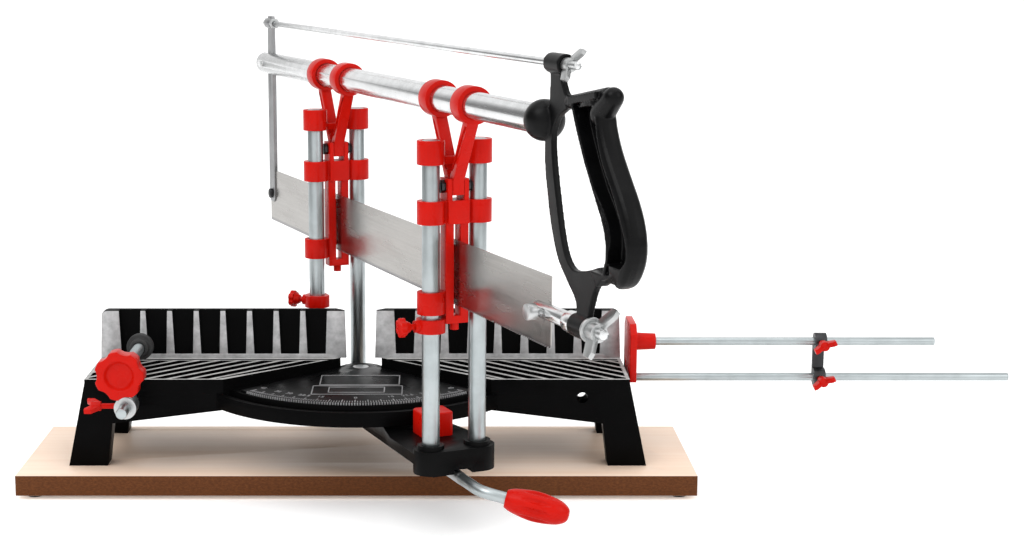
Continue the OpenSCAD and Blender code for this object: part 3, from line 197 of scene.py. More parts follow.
class Bench:
    """The working habits shared by all pieces: adding, selecting, editing and applying."""

    @staticmethod
    def add(name: str, mesh: bpy.types.Mesh) -> bpy.types.Object:
        """Adds a mesh to the scene as a piece."""
        piece = bpy.data.objects.new(name, mesh)
        bpy.context.scene.collection.objects.link(piece)
        return piece

    @staticmethod
    def clear_selection() -> None:
        """Deselects everything, in object mode."""
        if bpy.context.mode != Mode.OBJECT.value:
            bpy.ops.object.mode_set(mode=Mode.OBJECT.value)
        bpy.ops.object.select_all(action="DESELECT")

    @classmethod
    def take(cls, piece: bpy.types.Object) -> bpy.types.Object:
        """Selects one piece alone and makes it active."""
        cls.clear_selection()
        piece.select_set(True)
        bpy.context.view_layer.objects.active = piece
        return piece

    @classmethod
    def edit_all(cls, piece: bpy.types.Object) -> None:
        """Opens a piece in edit mode with all of it selected."""
        cls.take(piece)
        bpy.ops.object.mode_set(mode=Mode.EDIT.value)
        bpy.ops.mesh.select_all(action="SELECT")

    @staticmethod
    def done() -> None:
        """Goes back to object mode."""
        bpy.ops.object.mode_set(mode=Mode.OBJECT.value)

    @classmethod
    def apply(cls, piece: bpy.types.Object, kind: str, **settings: object) -> None:
        """Adds a modifier, sets it and applies it.

        Args:
            piece: The piece to change.
            kind: Blender's name for the modifier type.
            **settings: The modifier's own settings.
        """
        cls.take(piece)
        modifier = piece.modifiers.new(kind.title(), kind)
        for name, value in settings.items():
            setattr(modifier, name, value)
        bpy.ops.object.modifier_apply(modifier=modifier.name)

    @classmethod
    def settle(cls, piece: bpy.types.Object, place: Matrix) -> bpy.types.Object:
        """Moves a piece to its place and puts that place into its mesh."""
        piece.matrix_world = place
        cls.take(piece)
        bpy.ops.object.transform_apply(location=True, rotation=True, scale=True)
        return piece

    @classmethod
    def smooth(cls, piece: bpy.types.Object, degrees: float = 35.0) -> None:
        """Shades a piece smooth where its faces meet at less than an angle."""
        cls.take(piece)
        bpy.ops.object.shade_smooth_by_angle(angle=math.radians(degrees))

    @classmethod
    def fuse(cls, piece: bpy.types.Object, voxel: float, passes: int, keep: float) -> None:
        """Makes a piece one smooth skin.

        Args:
            piece: The piece to change.
            voxel: The size of a voxel, in millimetres.
            passes: How often the skin is smoothed.
            keep: The share of the faces that stays.
        """
        cls.apply(piece, "REMESH", mode="VOXEL", voxel_size=voxel * MM)
        cls.apply(piece, "SMOOTH", factor=0.5, iterations=passes)
        cls.apply(piece, "DECIMATE", ratio=keep)
        cls.take(piece)
        bpy.ops.object.shade_smooth()

    @classmethod
    def join(cls, pieces: Sequence[bpy.types.Object], name: str) -> bpy.types.Object:
        """Joins pieces into the first one and names it.

        Args:
            pieces: The pieces, of which the first stays.
            name: The joined piece's name.

        Returns:
            The joined piece.
        """
        cls.clear_selection()
        for piece in pieces:
            piece.select_set(True)
        bpy.context.view_layer.objects.active = pieces[0]
        if len(pieces) > 1:
            bpy.ops.object.join()
        pieces[0].name = name
        return pieces[0]


class MixKind(Enum):
    """The Mix node's kinds, with the places of their two inputs and of their output."""

    FLOAT = (2, 3, 0)
    RGBA = (6, 7, 2)


class Nodes:
    """A small builder for the nodes of one tree."""

    def __init__(self, tree: bpy.types.NodeTree) -> None:
        """Starts on a tree as it is."""
        self.tree = tree

    def add(self, kind: str, **settings: object) -> bpy.types.Node:
        """Adds a node and sets its properties."""
        made = self.tree.nodes.new(kind)
        for name, value in settings.items():
            setattr(made, name, value)
        return made

    def wire(self, source: bpy.types.NodeSocket, target: bpy.types.NodeSocket) -> None:
        """Links two sockets."""
        self.tree.links.new(source, target)

    def feed(self, target: bpy.types.NodeSocket, value: object) -> None:
        """Links a socket to a target, or writes a plain value into it."""
        if isinstance(value, bpy.types.NodeSocket):
            self.wire(value, target)
        else:
            target.default_value = value

    def axis(self, name: str, vector: bpy.types.NodeSocket) -> bpy.types.NodeSocket:
        """Gives one coordinate of a vector."""
        parts = self.add("ShaderNodeSeparateXYZ")
        self.wire(vector, parts.inputs["Vector"])
        return parts.outputs[name]

    def calc(self, operation: str, first: object, second: object = 0.0) -> bpy.types.NodeSocket:
        """Reckons with one or two values by one of Blender's math operations."""
        made = self.add("ShaderNodeMath", operation=operation)
        self.feed(made.inputs[0], first)
        self.feed(made.inputs[1], second)
        return made.outputs["Value"]

    def span(self, value: object, low: float, high: float, new_low: float = 0.0,
             new_high: float = 1.0) -> bpy.types.NodeSocket:
        """Maps a value from one range to another and keeps it there."""
        made = self.add("ShaderNodeMapRange", clamp=True)
        self.feed(made.inputs["Value"], value)
        for name, number in zip(("From Min", "From Max", "To Min", "To Max"), (low, high, new_low, new_high)):
            made.inputs[name].default_value = number
        return made.outputs["Result"]

    def blend(self, factor: object, first: object, second: object,
              kind: MixKind = MixKind.RGBA) -> bpy.types.NodeSocket:
        """Mixes two colours, or two plain values."""
        first_place, second_place, out_place = kind.value
        made = self.add("ShaderNodeMix", data_type=kind.name)
        self.feed(made.inputs["Factor"], factor)
        self.feed(made.inputs[first_place], first)
        self.feed(made.inputs[second_place], second)
        return made.outputs[out_place]


class Graph(Nodes):
    """The nodes of one material, round a Principled shader."""

    def __init__(self, name: str) -> None:
        """Starts a material with a Principled shader on its output."""
        self.material = bpy.data.materials.new(name)
        self.material.use_nodes = True
        super().__init__(self.material.node_tree)
        self.tree.nodes.clear()
        out = self.add("ShaderNodeOutputMaterial")
        self.shader = self.add("ShaderNodeBsdfPrincipled")
        self.wire(self.shader.outputs["BSDF"], out.inputs["Surface"])
        self.coords = self.add("ShaderNodeTexCoord").outputs["Object"]

    def set(self, **values: object) -> None:
        """Sets the shader's own inputs, with underscores for spaces in their names."""
        for name, value in values.items():
            self.feed(self.shader.inputs[name.replace("_", " ")], value)

    def mapped(self, scale: Vec, turn: float = 0.0) -> bpy.types.NodeSocket:
        """Gives Object coordinates, turned about Z and scaled."""
        turned = self.add("ShaderNodeMapping", vector_type="POINT")
        turned.inputs["Rotation"].default_value = (0.0, 0.0, turn)
        self.wire(self.coords, turned.inputs["Vector"])
        stretched = self.add("ShaderNodeVectorMath", operation="MULTIPLY")
        self.wire(turned.outputs["Vector"], stretched.inputs[0])
        stretched.inputs[1].default_value = scale
        return stretched.outputs["Vector"]

    def noise(self, vector: bpy.types.NodeSocket, detail: float, rough: float = 0.55) -> bpy.types.NodeSocket:
        """Gives a noise from 0 to 1 on a vector."""
        made = self.add("ShaderNodeTexNoise")
        made.inputs["Scale"].default_value = 1.0
        made.inputs["Detail"].default_value = detail
        made.inputs["Roughness"].default_value = rough
        self.wire(vector, made.inputs["Vector"])
        return made.outputs["Fac"]

    def grain(self, scale: float, detail: float, rough: float = 0.55) -> bpy.types.NodeSocket:
        """Gives a noise of the same size in all directions."""
        return self.noise(self.mapped((scale, scale, scale)), detail, rough)

    def relief(self, height: bpy.types.NodeSocket, depth: float, strength: float = 1.0) -> None:
        """Raises the surface's shading by a height map, with a depth in metres."""
        made = self.add("ShaderNodeBump")
        made.inputs["Strength"].default_value = strength
        made.inputs["Distance"].default_value = depth
        self.wire(height, made.inputs["Height"])
        self.wire(made.outputs["Normal"], self.shader.inputs["Normal"])

    def place(self, name: str) -> bpy.types.NodeSocket:
        """Gives one of the Object coordinates."""
        return self.axis(name, self.coords)

    def facing(self, name: str) -> bpy.types.NodeSocket:
        """Gives one part of the surface's own normal."""
        return self.axis(name, self.add("ShaderNodeTexCoord").outputs["Normal"])


@dataclass(frozen=True)
class Finish:
    """A surface finish, whose material is made once."""

    name: str

    def nodes(self, graph: Graph) -> None:
        """Builds the finish on a fresh graph."""
        raise NotImplementedError

    def material(self) -> bpy.types.Material:
        """Gives the finish's material, and makes it on first use."""
        kept = bpy.data.materials.get(self.name)
        if kept is None:
            graph = Graph(self.name)
            self.nodes(graph)
            kept = graph.material
        return kept


@dataclass(frozen=True)
class CoatedIron(Finish):
    """Satin black paint on a casting, with a fine orange peel and rubbed places."""

    colour: Colour = (0.0014, 0.0014, 0.0015, 1.0)
    roughness: float = 0.4
    peel: float = 0.00007
    peel_scale: float = 900.0
    sheen_level: float = 0.035
    cloud_scale: float = 60.0
    rubbed: float = 1.7

    def paint(self, graph: Graph) -> tuple[bpy.types.NodeSocket, bpy.types.NodeSocket]:
        """Gives the paint's colour and roughness sockets."""
        cloud = graph.grain(self.cloud_scale, 5.0)
        worn = shade(self.colour, self.rubbed)
        tone = graph.blend(graph.span(cloud, 0.4, 0.75), self.colour, worn)
        gloss = graph.span(cloud, 0.25, 0.75, self.roughness - 0.08, self.roughness + 0.1)
        return tone, gloss

    def nodes(self, graph: Graph) -> None:
        """Builds the paint with its peel."""
        tone, gloss = self.paint(graph)
        graph.set(Base_Color=tone, Roughness=gloss, Specular_IOR_Level=self.sheen_level)
        graph.relief(graph.grain(self.peel_scale, 3.0), self.peel, 0.5)


@dataclass(frozen=True)
class MilledCasting(CoatedIron):
    """Black paint with faces milled bright where one coordinate reaches a level."""

    along: str = "Z"
    level: float = TABLE_TOP
    rising: bool = True
    front_limit: float = 0.2
    skin_depth: float = 0.12
    fade: float = 0.00004
    metal: Colour = (0.52, 0.52, 0.51, 1.0)
    metallic: float = 0.2
    cutter_marks: Vec = (30.0, 2200.0, 2200.0)
    milled_gloss: Point = (0.34, 0.6)
    stain_scale: float = 140.0
    stained: float = 0.62

    def nodes(self, graph: Graph) -> None:
        """Builds the paint, then the milled metal over it."""
        tone, gloss = self.paint(graph)
        sign = 1.0 if self.rising else -1.0
        edge = (self.level - sign * self.skin_depth) * MM
        near = graph.span(graph.place(self.along), edge - sign * self.fade, edge + sign * self.fade)
        flat = graph.span(graph.calc("MULTIPLY", graph.facing(self.along), sign), 0.9, 0.97)
        bare = graph.calc("MULTIPLY", near, flat)
        if self.rising:
            ahead = graph.span(graph.place("Y"), 0.0, self.front_limit * MM, 1.0, 0.0)
            bare = graph.calc("MULTIPLY", bare, ahead)
        cutter = graph.noise(graph.mapped(self.cutter_marks), 4.0, 0.7)
        stain = graph.grain(self.stain_scale, 5.0, 0.6)
        dull = shade(self.metal, self.stained)
        skin = graph.blend(graph.span(stain, 0.35, 0.7), self.metal, dull)
        graph.set(Base_Color=graph.blend(bare, tone, skin), Metallic=graph.calc("MULTIPLY", bare, self.metallic))
        graph.set(Specular_IOR_Level=self.sheen_level)
        milled = graph.span(cutter, 0.2, 0.8, *self.milled_gloss)
        graph.set(Roughness=graph.blend(bare, gloss, milled, MixKind.FLOAT))
        graph.relief(graph.grain(self.peel_scale, 3.0), self.peel, 0.4)


@dataclass(frozen=True)
class PlatedSteel(Finish):
    """Bright plating with faint drawing lines along one direction."""

    colour: Colour = (0.47, 0.515, 0.525, 1.0)
    roughness: float = 0.34
    streak: Vec = (900.0, 900.0, 25.0)
    turn: float = 0.0
    cloud_scale: float = 70.0
    clouded: float = 0.8
    line_depth: float = 0.00002

    def nodes(self, graph: Graph) -> None:
        """Builds the metal with its drawing lines and clouded plating."""
        lines = graph.noise(graph.mapped(self.streak, self.turn), 3.0, 0.6)
        cloud = graph.grain(self.cloud_scale, 4.0)
        dull = shade(self.colour, self.clouded)
        graph.set(Base_Color=graph.blend(graph.span(cloud, 0.4, 0.8), self.colour, dull), Metallic=1.0)
        mixed = graph.calc("ADD", graph.calc("MULTIPLY", lines, 0.6), graph.calc("MULTIPLY", cloud, 0.4))
        graph.set(Roughness=graph.span(mixed, 0.25, 0.75, self.roughness - 0.09, self.roughness + 0.12))
        graph.relief(lines, self.line_depth, 0.35)


@dataclass(frozen=True)
class GroundBlade(Finish):
    """Ground blade steel with long scratches and a blued row of hardened teeth."""

    colour: Colour = (0.44, 0.425, 0.405, 1.0)
    scratches: Vec = (1200.0, 9.0, 1500.0)
    scratched: float = 0.84
    scratch_depth: float = 0.00002
    smears: Vec = (40.0, 14.0, 60.0)
    blued: Colour = (0.16, 0.16, 0.18, 1.0)
    blued_share: float = 0.55
    teeth_top: float = BOARD_TOP + 144.5
    teeth_fade: float = 1.2

    def nodes(self, graph: Graph) -> None:
        """Builds the steel, its scratches and its hardened edge."""
        scratch = graph.noise(graph.mapped(self.scratches, -SWING), 5.0, 0.7)
        smear = graph.noise(graph.mapped(self.smears, -SWING), 4.0, 0.6)
        dark = shade(self.colour, self.scratched)
        skin = graph.blend(graph.span(scratch, 0.35, 0.68), self.colour, dark)
        hard = graph.span(graph.place("Z"), self.teeth_top * MM, (self.teeth_top - self.teeth_fade) * MM)
        edge = graph.calc("MULTIPLY", hard, self.blued_share)
        graph.set(Base_Color=graph.blend(edge, skin, self.blued), Metallic=1.0)
        graph.set(Roughness=graph.span(smear, 0.3, 0.7, 0.18, 0.32))
        graph.relief(scratch, self.scratch_depth, 0.25)


@dataclass(frozen=True)
class MouldedPlastic(Finish):
    """Glossy moulded plastic with slight waves and a fine skin."""

    colour: Colour = (0.53, 0.006, 0.002, 1.0)
    roughness: float = 0.28
    coat: float = 0.03
    flow_scale: float = 45.0
    deepened: float = 0.82
    skin_scale: float = 1400.0
    skin_depth: float = 0.00003

    def nodes(self, graph: Graph) -> None:
        """Builds the plastic's colour, gloss and skin."""
        flow = graph.grain(self.flow_scale, 4.0)
        deep = shade(self.colour, self.deepened)
        graph.set(Base_Color=graph.blend(graph.span(flow, 0.35, 0.75), self.colour, deep))
        graph.set(Roughness=graph.span(flow, 0.3, 0.7, self.roughness - 0.06, self.roughness + 0.08))
        graph.set(Coat_Weight=self.coat, Coat_Roughness=0.14, IOR=1.49, Specular_IOR_Level=0.1)
        graph.relief(graph.grain(self.skin_scale, 2.0), self.skin_depth, 0.3)


@dataclass(frozen=True)
class LaminatedBoard(Finish):
    """Varnished board: a pale face with long grain and pressed brown fibre at its edges."""

    pale: Colour = (0.90, 0.71, 0.57, 1.0)
    warm: Colour = (0.86, 0.64, 0.49, 1.0)
    fibre: Colour = (0.085, 0.027, 0.007, 1.0)
    pressed: float = 1.75
    grain_stretch: Vec = (7.0, 190.0, 190.0)
    wave_stretch: Vec = (2.4, 22.0, 22.0)
    fleck_stretch: Vec = (420.0, 420.0, 900.0)
    grain_depth: float = 0.00006

    def nodes(self, graph: Graph) -> None:
        """Builds the face grain, the edge fibre and the varnish."""
        grain = graph.noise(graph.mapped(self.grain_stretch), 6.0, 0.62)
        wave = graph.noise(graph.mapped(self.wave_stretch), 3.0)
        fleck = graph.noise(graph.mapped(self.fleck_stretch), 5.0, 0.7)
        mixed = graph.calc("ADD", graph.calc("MULTIPLY", grain, 0.65), graph.calc("MULTIPLY", wave, 0.35))
        face = graph.blend(graph.span(mixed, 0.38, 0.66), self.pale, self.warm)
        core = graph.blend(graph.span(fleck, 0.4, 0.7), self.fibre, shade(self.fibre, self.pressed))
        flat = graph.span(graph.calc("ABSOLUTE", graph.facing("Z")), 0.55, 0.75)
        graph.set(Base_Color=graph.blend(flat, core, face))
        graph.set(Roughness=graph.span(flat, 0.0, 1.0, 0.65, 0.4))
        graph.set(Coat_Weight=0.02, Coat_Roughness=0.14, Specular_IOR_Level=0.15)
        graph.relief(graph.calc("ADD", grain, graph.calc("MULTIPLY", fleck, 0.5)), self.grain_depth, 0.35)


@dataclass(frozen=True)
class SoftRubber(Finish):
    """Matt black rubber."""

    colour: Colour = (0.014, 0.014, 0.014, 1.0)
    dust: Colour = (0.04, 0.04, 0.04, 1.0)
    bloom_scale: float = 120.0
    skin_scale: float = 800.0
    skin_depth: float = 0.00006

    def nodes(self, graph: Graph) -> None:
        """Builds the rubber with a dusty bloom."""
        bloom = graph.grain(self.bloom_scale, 5.0)
        graph.set(Base_Color=graph.blend(graph.span(bloom, 0.4, 0.8), self.colour, self.dust))
        graph.set(Roughness=graph.span(bloom, 0.3, 0.7, 0.5, 0.75))
        graph.relief(graph.grain(self.skin_scale, 3.0), self.skin_depth, 0.5)


TABLE_CAST = MilledCasting("ribbed_table_casting")
FENCE_CAST = MilledCasting("milled_fence_casting", along="Y", level=0.0, rising=False,
                           metal=(0.58, 0.58, 0.585, 1.0), metallic=0.85)
GRIP_BLACK = CoatedIron("grip_black_enamel", colour=(0.0025, 0.0025, 0.0027, 1.0), roughness=0.32, sheen_level=0.13)
ARM_BLACK = CoatedIron("arm_black_enamel", colour=(0.002, 0.002, 0.0021, 1.0), roughness=0.36, sheen_level=0.07)
SCALE_BLACK = CoatedIron("scale_black_plate", colour=(0.0025, 0.0025, 0.0027, 1.0), roughness=0.3, sheen_level=0.1)
MARK_GREY = CoatedIron("scale_mark_relief", colour=(0.2, 0.2, 0.204, 1.0), roughness=0.34, sheen_level=0.3)
POST_PLATE = PlatedSteel("post_plating")
SAW_PLATE = PlatedSteel("saw_tube_plating", colour=(0.8, 0.81, 0.815, 1.0), roughness=0.2,
                        streak=(900.0, 22.0, 900.0), turn=-SWING)
ROD_X_PLATE = PlatedSteel("length_rod_plating", streak=(22.0, 900.0, 900.0))
ROD_Y_PLATE = PlatedSteel("clamp_rod_plating", streak=(900.0, 22.0, 900.0))
ZINC = PlatedSteel("zinc_fastener", colour=(0.55, 0.56, 0.56, 1.0), roughness=0.34, streak=(300.0, 300.0, 300.0))
DARK_STEEL = PlatedSteel("blackened_steel", colour=(0.06, 0.06, 0.063, 1.0), roughness=0.4)
FAR_STEEL = PlatedSteel("far_arm_steel", colour=(0.33, 0.335, 0.34, 1.0), roughness=0.4)
BLADE_STEEL = GroundBlade("ground_blade_steel")
RED_PLASTIC = MouldedPlastic("moulded_red")
BOARD_WOOD = LaminatedBoard("varnished_board")
RUBBER = SoftRubber("foot_rubber_black")


@dataclass
class Frame:
    """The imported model: its nodes, and which body and slot each belongs to."""

    loaded: dict = field(default_factory=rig.load)
    pieces: list[bpy.types.Object] = field(default_factory=list)

    def __post_init__(self) -> None:
        """Looks up each node's body and slot, and keeps the CAD box."""
        record = self.loaded["record"]
        self.body = {node: body for body, nodes in record["behaviour"]["bodies"].items() for node in nodes}
        self.slot = {part["node"]: part["material_slot"] for part in record["subparts"]}
        self.cad_box = [list(corner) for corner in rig.bounds()]

    def copy(self, node: str, name: str, merged: bool = True) -> bpy.types.Object:
        """Copies a node's mesh into a new piece with its facets merged.

        Args:
            node: The CAD node.
            name: The new piece's name.
            merged: Whether flat facets become whole faces.

        Returns:
            The new piece, at the origin.
        """
        piece = Bench.add(name, self.loaded["nodes"][node].data.copy())
        piece.data.materials.clear()
        Bench.edit_all(piece)
        bpy.ops.mesh.remove_doubles(threshold=WELD)
        if merged:
            bpy.ops.mesh.dissolve_limited(angle_limit=FLAT_ANGLE)
        Bench.done()
        return piece

    def seat(self, piece: bpy.types.Object, node: str, finish: Finish, stands_for: bool) -> bpy.types.Object:
        """Gives a piece its finish and lets it ride with a node's body.

        Args:
            piece: The finished piece.
            node: The CAD node that it belongs to.
            finish: The piece's finish.
            stands_for: Whether the piece takes the node's place.

        Returns:
            The same piece.
        """
        if not piece.data.materials:
            piece.data.materials.append(finish.material())
        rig.ride(piece, self.body[node])
        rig.slot(piece, self.slot[node])
        if stands_for:
            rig.replaces(piece, node)
        self.pieces.append(piece)
        LOG.info("%s rides on %s", piece.name, self.body[node])
        return piece


@dataclass
class RoundedSolid:
    """A CAD solid shown with its edges rounded."""

    node: str
    finish: Finish
    radius: float = 0.5
    steps: int = 2
    sharp: float = 32.0
    fit: float = 1.0
    merged: bool = True

    def build(self, frame: Frame) -> bpy.types.Object:
        """Copies, rounds and seats the solid, drawn in about the middle of its foot where it has a fit."""
        piece = frame.copy(self.node, f"{self.node}_shown", self.merged and self.radius > 0.0)
        if self.fit < 1.0:
            low, high = (Vector(corner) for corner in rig.box(self.node))
            foot = Vector(((low.x + high.x) / 2.0, (low.y + high.y) / 2.0, low.z))
            Bench.settle(piece, Matrix.Translation(foot) @ Matrix.Scale(self.fit, 4) @ Matrix.Translation(-foot))
        if self.radius > 0.0:
            Bench.apply(piece, "BEVEL", width=self.radius * MM, segments=self.steps, limit_method="ANGLE",
                        angle_limit=math.radians(self.sharp), use_clamp_overlap=True, miter_outer="MITER_ARC")
            Bench.smooth(piece)
        return frame.seat(piece, self.node, self.finish, True)


@dataclass
class GripWall:
    """The thin front wall, the floor and the ends of the trough in the saw's grip."""

    front: tuple[Point, ...] = (
        (360.0, 291.5), (363.8, 287.5), (368.0, 279.2), (373.1, 270.4), (379.5, 259.7), (387.7, 248.3),
        (394.6, 238.9), (400.3, 231.4), (404.5, 223.8), (406.7, 216.0), (406.5, 208.8), (403.0, 200.0))
    rim: tuple[Point, ...] = (
        (422.0, 203.0), (425.0, 215.7), (422.0, 225.2), (417.0, 234.4), (411.0, 246.6), (402.5, 260.6),
        (395.5, 272.0), (390.0, 286.6), (388.0, 294.0))
    bridge: tuple[Point, ...] = ((358.0, 294.4), (392.0, 300.2), (392.0, 296.0), (362.0, 290.3), (358.0, 289.0))
    link: tuple[Point, ...] = (
        (388.5, 200.0), (399.5, 200.0), (408.2, 200.6), (416.0, 201.8), (420.0, 204.0), (419.0, 201.0),
        (409.5, 199.0), (402.0, 196.5), (397.0, 192.0))
    wall: float = 2.4
    near_side: float = -6.8
    floor_side: float = 2.6
    floor_far: float = 5.2
    bridge_far: float = 0.0
    link_far: float = 1.0
    far_side: float = 7.2

    @staticmethod
    def plate(edge: Sequence[Point], low: float, high: float, name: str) -> bpy.types.Object:
        """Extrudes an outline across the saw.

        Args:
            edge: The outline's places along the saw and heights, in millimetres.
            low: Where the plate starts across the saw.
            high: Where the plate ends across the saw.
            name: The piece's name.

        Returns:
            The plate as a closed piece.
        """
        outline = bpy.data.meshes.new(name)
        outline.from_pydata([along_saw(low, place, height) for place, height in edge], [], [list(range(len(edge)))])
        piece = Bench.add(name, outline)
        Bench.edit_all(piece)
        bpy.ops.mesh.extrude_region_move(TRANSFORM_OT_translate={"value": arm_matrix() @ mm(high - low, 0.0, 0.0)})
        bpy.ops.mesh.select_all(action="SELECT")
        bpy.ops.mesh.normals_make_consistent(inside=False)
        Bench.done()
        return piece

    def build(self) -> list[bpy.types.Object]:
        """Builds the wall, the floor and the trough's two ends."""
        strip = list(self.front) + [(place + self.wall, height) for place, height in reversed(self.front)]
        return [self.plate(strip, self.near_side, self.far_side, "grip_front_wall"),
                self.plate(self.front + self.rim, self.floor_side, self.floor_far, "grip_trough_floor"),
                self.plate(self.bridge, self.near_side, self.bridge_far, "grip_bridge"),
                self.plate(self.link, self.near_side, self.link_far, "grip_link")]


@dataclass
class FusedCasting:
    """A CAD solid shown as one casting, with its inner corners filled and its edges soft."""

    node: str
    finish: Finish
    added: GripWall | None = None
    voxel: float = 0.55
    passes: int = 5
    keep: float = 0.35

    def build(self, frame: Frame) -> bpy.types.Object:
        """Copies, fuses, smooths and seats the solid."""
        piece = frame.copy(self.node, f"{self.node}_shown", False)
        if self.added:
            piece = Bench.join([piece, *self.added.build()], piece.name)
        Bench.fuse(piece, self.voxel, self.passes, self.keep)
        return frame.seat(piece, self.node, self.finish, True)


@dataclass
class Thread:
    """A screw thread wound round a rod, as a piece that rides with the rod."""

    node: str
    name: str
    place: Matrix
    radius: float
    length: float
    pitch: float
    finish: Finish
    depth: float = 0.35
    sides: int = 20
    sunk: float = 0.4
    proud: float = 0.6
    crest_span: Point = (0.4, 0.6)
    sharp: float = 40.0

    def build(self, frame: Frame) -> bpy.types.Object:
        """Winds the thread's profile and seats it."""
        root, crest = self.radius - self.depth * self.sunk, self.radius + self.depth * self.proud
        start, end = self.crest_span
        profile = bpy.data.meshes.new(self.name)
        corners = ((root, 0.0), (crest, start), (crest, end), (root, 1.0))
        profile.from_pydata([mm(reach, 0.0, self.pitch * share) for reach, share in corners],
                            [(0, 1), (1, 2), (2, 3)], [])
        piece = Bench.add(self.name, profile)
        Bench.apply(piece, "SCREW", axis="Z", angle=math.tau, screw_offset=self.pitch * MM, steps=self.sides,
                    render_steps=self.sides, iterations=max(1, round(self.length / self.pitch)),
                    use_merge_vertices=True, use_normal_calculate=True)
        Bench.edit_all(piece)
        bpy.ops.mesh.remove_doubles(threshold=FINE_WELD)
        bpy.ops.mesh.normals_make_consistent(inside=False)
        Bench.done()
        Bench.settle(piece, self.place)
        Bench.smooth(piece, self.sharp)
        return frame.seat(piece, self.node, self.finish, False)


def saw_axis(across: float, distance: float, height: float) -> Matrix:
    """Gives a place on the saw whose +Z runs along the saw towards the user."""
    turn = arm_matrix() @ Matrix.Rotation(math.pi / 2.0, 4, "X")
    return Matrix.Translation(along_saw(across, distance, height)) @ turn


def front_axis(right: float, front: float, height: float) -> Matrix:
    """Gives a place whose +Z runs towards the user, across the fences."""
    return Matrix.Translation(mm(right, front, BOARD_TOP + height)) @ Matrix.Rotation(math.pi / 2.0, 4, "X")


@dataclass(frozen=True)
class MarkRing:
    """Like marks in a ring on the dial: lengths in millimetres, the step in degrees."""

    name: str
    size: Vec
    inset: float
    lift: float
    step: float


@dataclass
class Dial:
    """The quadrant's marks: fine teeth on its edge, lines, numbers and three raised frames."""

    top: float = BOARD_TOP + 58.5
    edge: float = 112.0
    number_ring: float = 97.0
    half_span: float = 45.0
    letter: float = 5.4
    letter_rise: float = 0.2
    letter_lift: float = 0.1
    bar: float = 0.8
    bar_rise: float = 0.5
    bar_lift: float = 0.15
    rings: tuple[MarkRing, ...] = (
        MarkRing("dial_teeth", (0.95, 1.0, 1.6), 0.0, -0.6, 1.0),
        MarkRing("dial_fine", (0.45, 3.2, 0.5), 4.0, 0.05, 1.0),
        MarkRing("dial_long", (0.6, 6.0, 0.5), 5.5, 0.1, 5.0),
    )
    numbers: tuple[float, ...] = (0.0, 15.0, 22.5, 30.0, 36.0, 45.0)
    frames: tuple[tuple[float, float, float, float], ...] = (
        (-28.0, 30.5, -59.0, -30.0), (-32.5, 33.0, -87.0, -62.0), (-20.5, 20.0, -81.5, -66.0))

    @staticmethod
    def box(size: Vec, place: Vec) -> bpy.types.Object:
        """Adds a small box, with its size and place in millimetres."""
        bpy.ops.mesh.primitive_cube_add(size=1.0)
        made = bpy.context.object
        return Bench.settle(made, Matrix.Translation(mm(*place)) @ Matrix.Diagonal((*mm(*size), 1.0)))

    def ring(self, kind: MarkRing) -> bpy.types.Object:
        """Repeats a small box round the pivot, as one piece."""
        mark = self.box(kind.size, (0.0, kind.inset - self.edge, self.top + kind.lift))
        Bench.settle(mark, Matrix.Rotation(math.radians(-self.half_span), 4, "Z"))
        bpy.ops.object.empty_add(rotation=(0.0, 0.0, math.radians(kind.step)))
        turn = bpy.context.object
        Bench.apply(mark, "ARRAY", count=round(2.0 * self.half_span / kind.step) + 1, use_relative_offset=False,
                    use_object_offset=True, offset_object=turn)
        bpy.data.objects.remove(turn)
        mark.name = kind.name
        return mark

    def number(self, value: float, side: float) -> bpy.types.Object:
        """Raises one number, read from the front."""
        bpy.ops.object.text_add()
        word = bpy.context.object
        word.data.body = f"{value:g}"
        word.data.align_x, word.data.align_y = "CENTER", "CENTER"
        word.data.size = self.letter * MM
        word.data.extrude = self.letter_rise * MM
        word.data.resolution_u = 3
        bpy.ops.object.convert(target="MESH")
        turn = Matrix.Rotation(math.radians(side * value), 4, "Z")
        return Bench.settle(word, turn @ Matrix.Translation(mm(0.0, -self.number_ring, self.top + self.letter_lift)))

    def frame_lines(self, left: float, right: float, front: float, back: float) -> list[bpy.types.Object]:
        """Raises one rectangle of thin bars."""
        level = self.top + self.bar_lift
        middle, depth = (left + right) / 2.0, (front + back) / 2.0
        across = [self.box((right - left, self.bar, self.bar_rise), (middle, y, level)) for y in (front, back)]
        along = [self.box((self.bar, back - front, self.bar_rise), (x, depth, level)) for x in (left, right)]
        return across + along

    def build(self, frame: Frame) -> None:
        """Builds all the marks on the scale plate."""
        marks = [self.ring(kind) for kind in self.rings]
        places = [(value, side) for value in self.numbers for side in ((-1.0, 1.0) if value else (1.0,))]
        words = [self.number(value, side) for value, side in places]
        bars = [bar for corners in self.frames for bar in self.frame_lines(*corners)]
        frame.seat(Bench.join(marks, "dial_marks"), "scale_plate", MARK_GREY, False)
        frame.seat(Bench.join(words + bars, "dial_numbers"), "scale_plate", MARK_GREY, False)


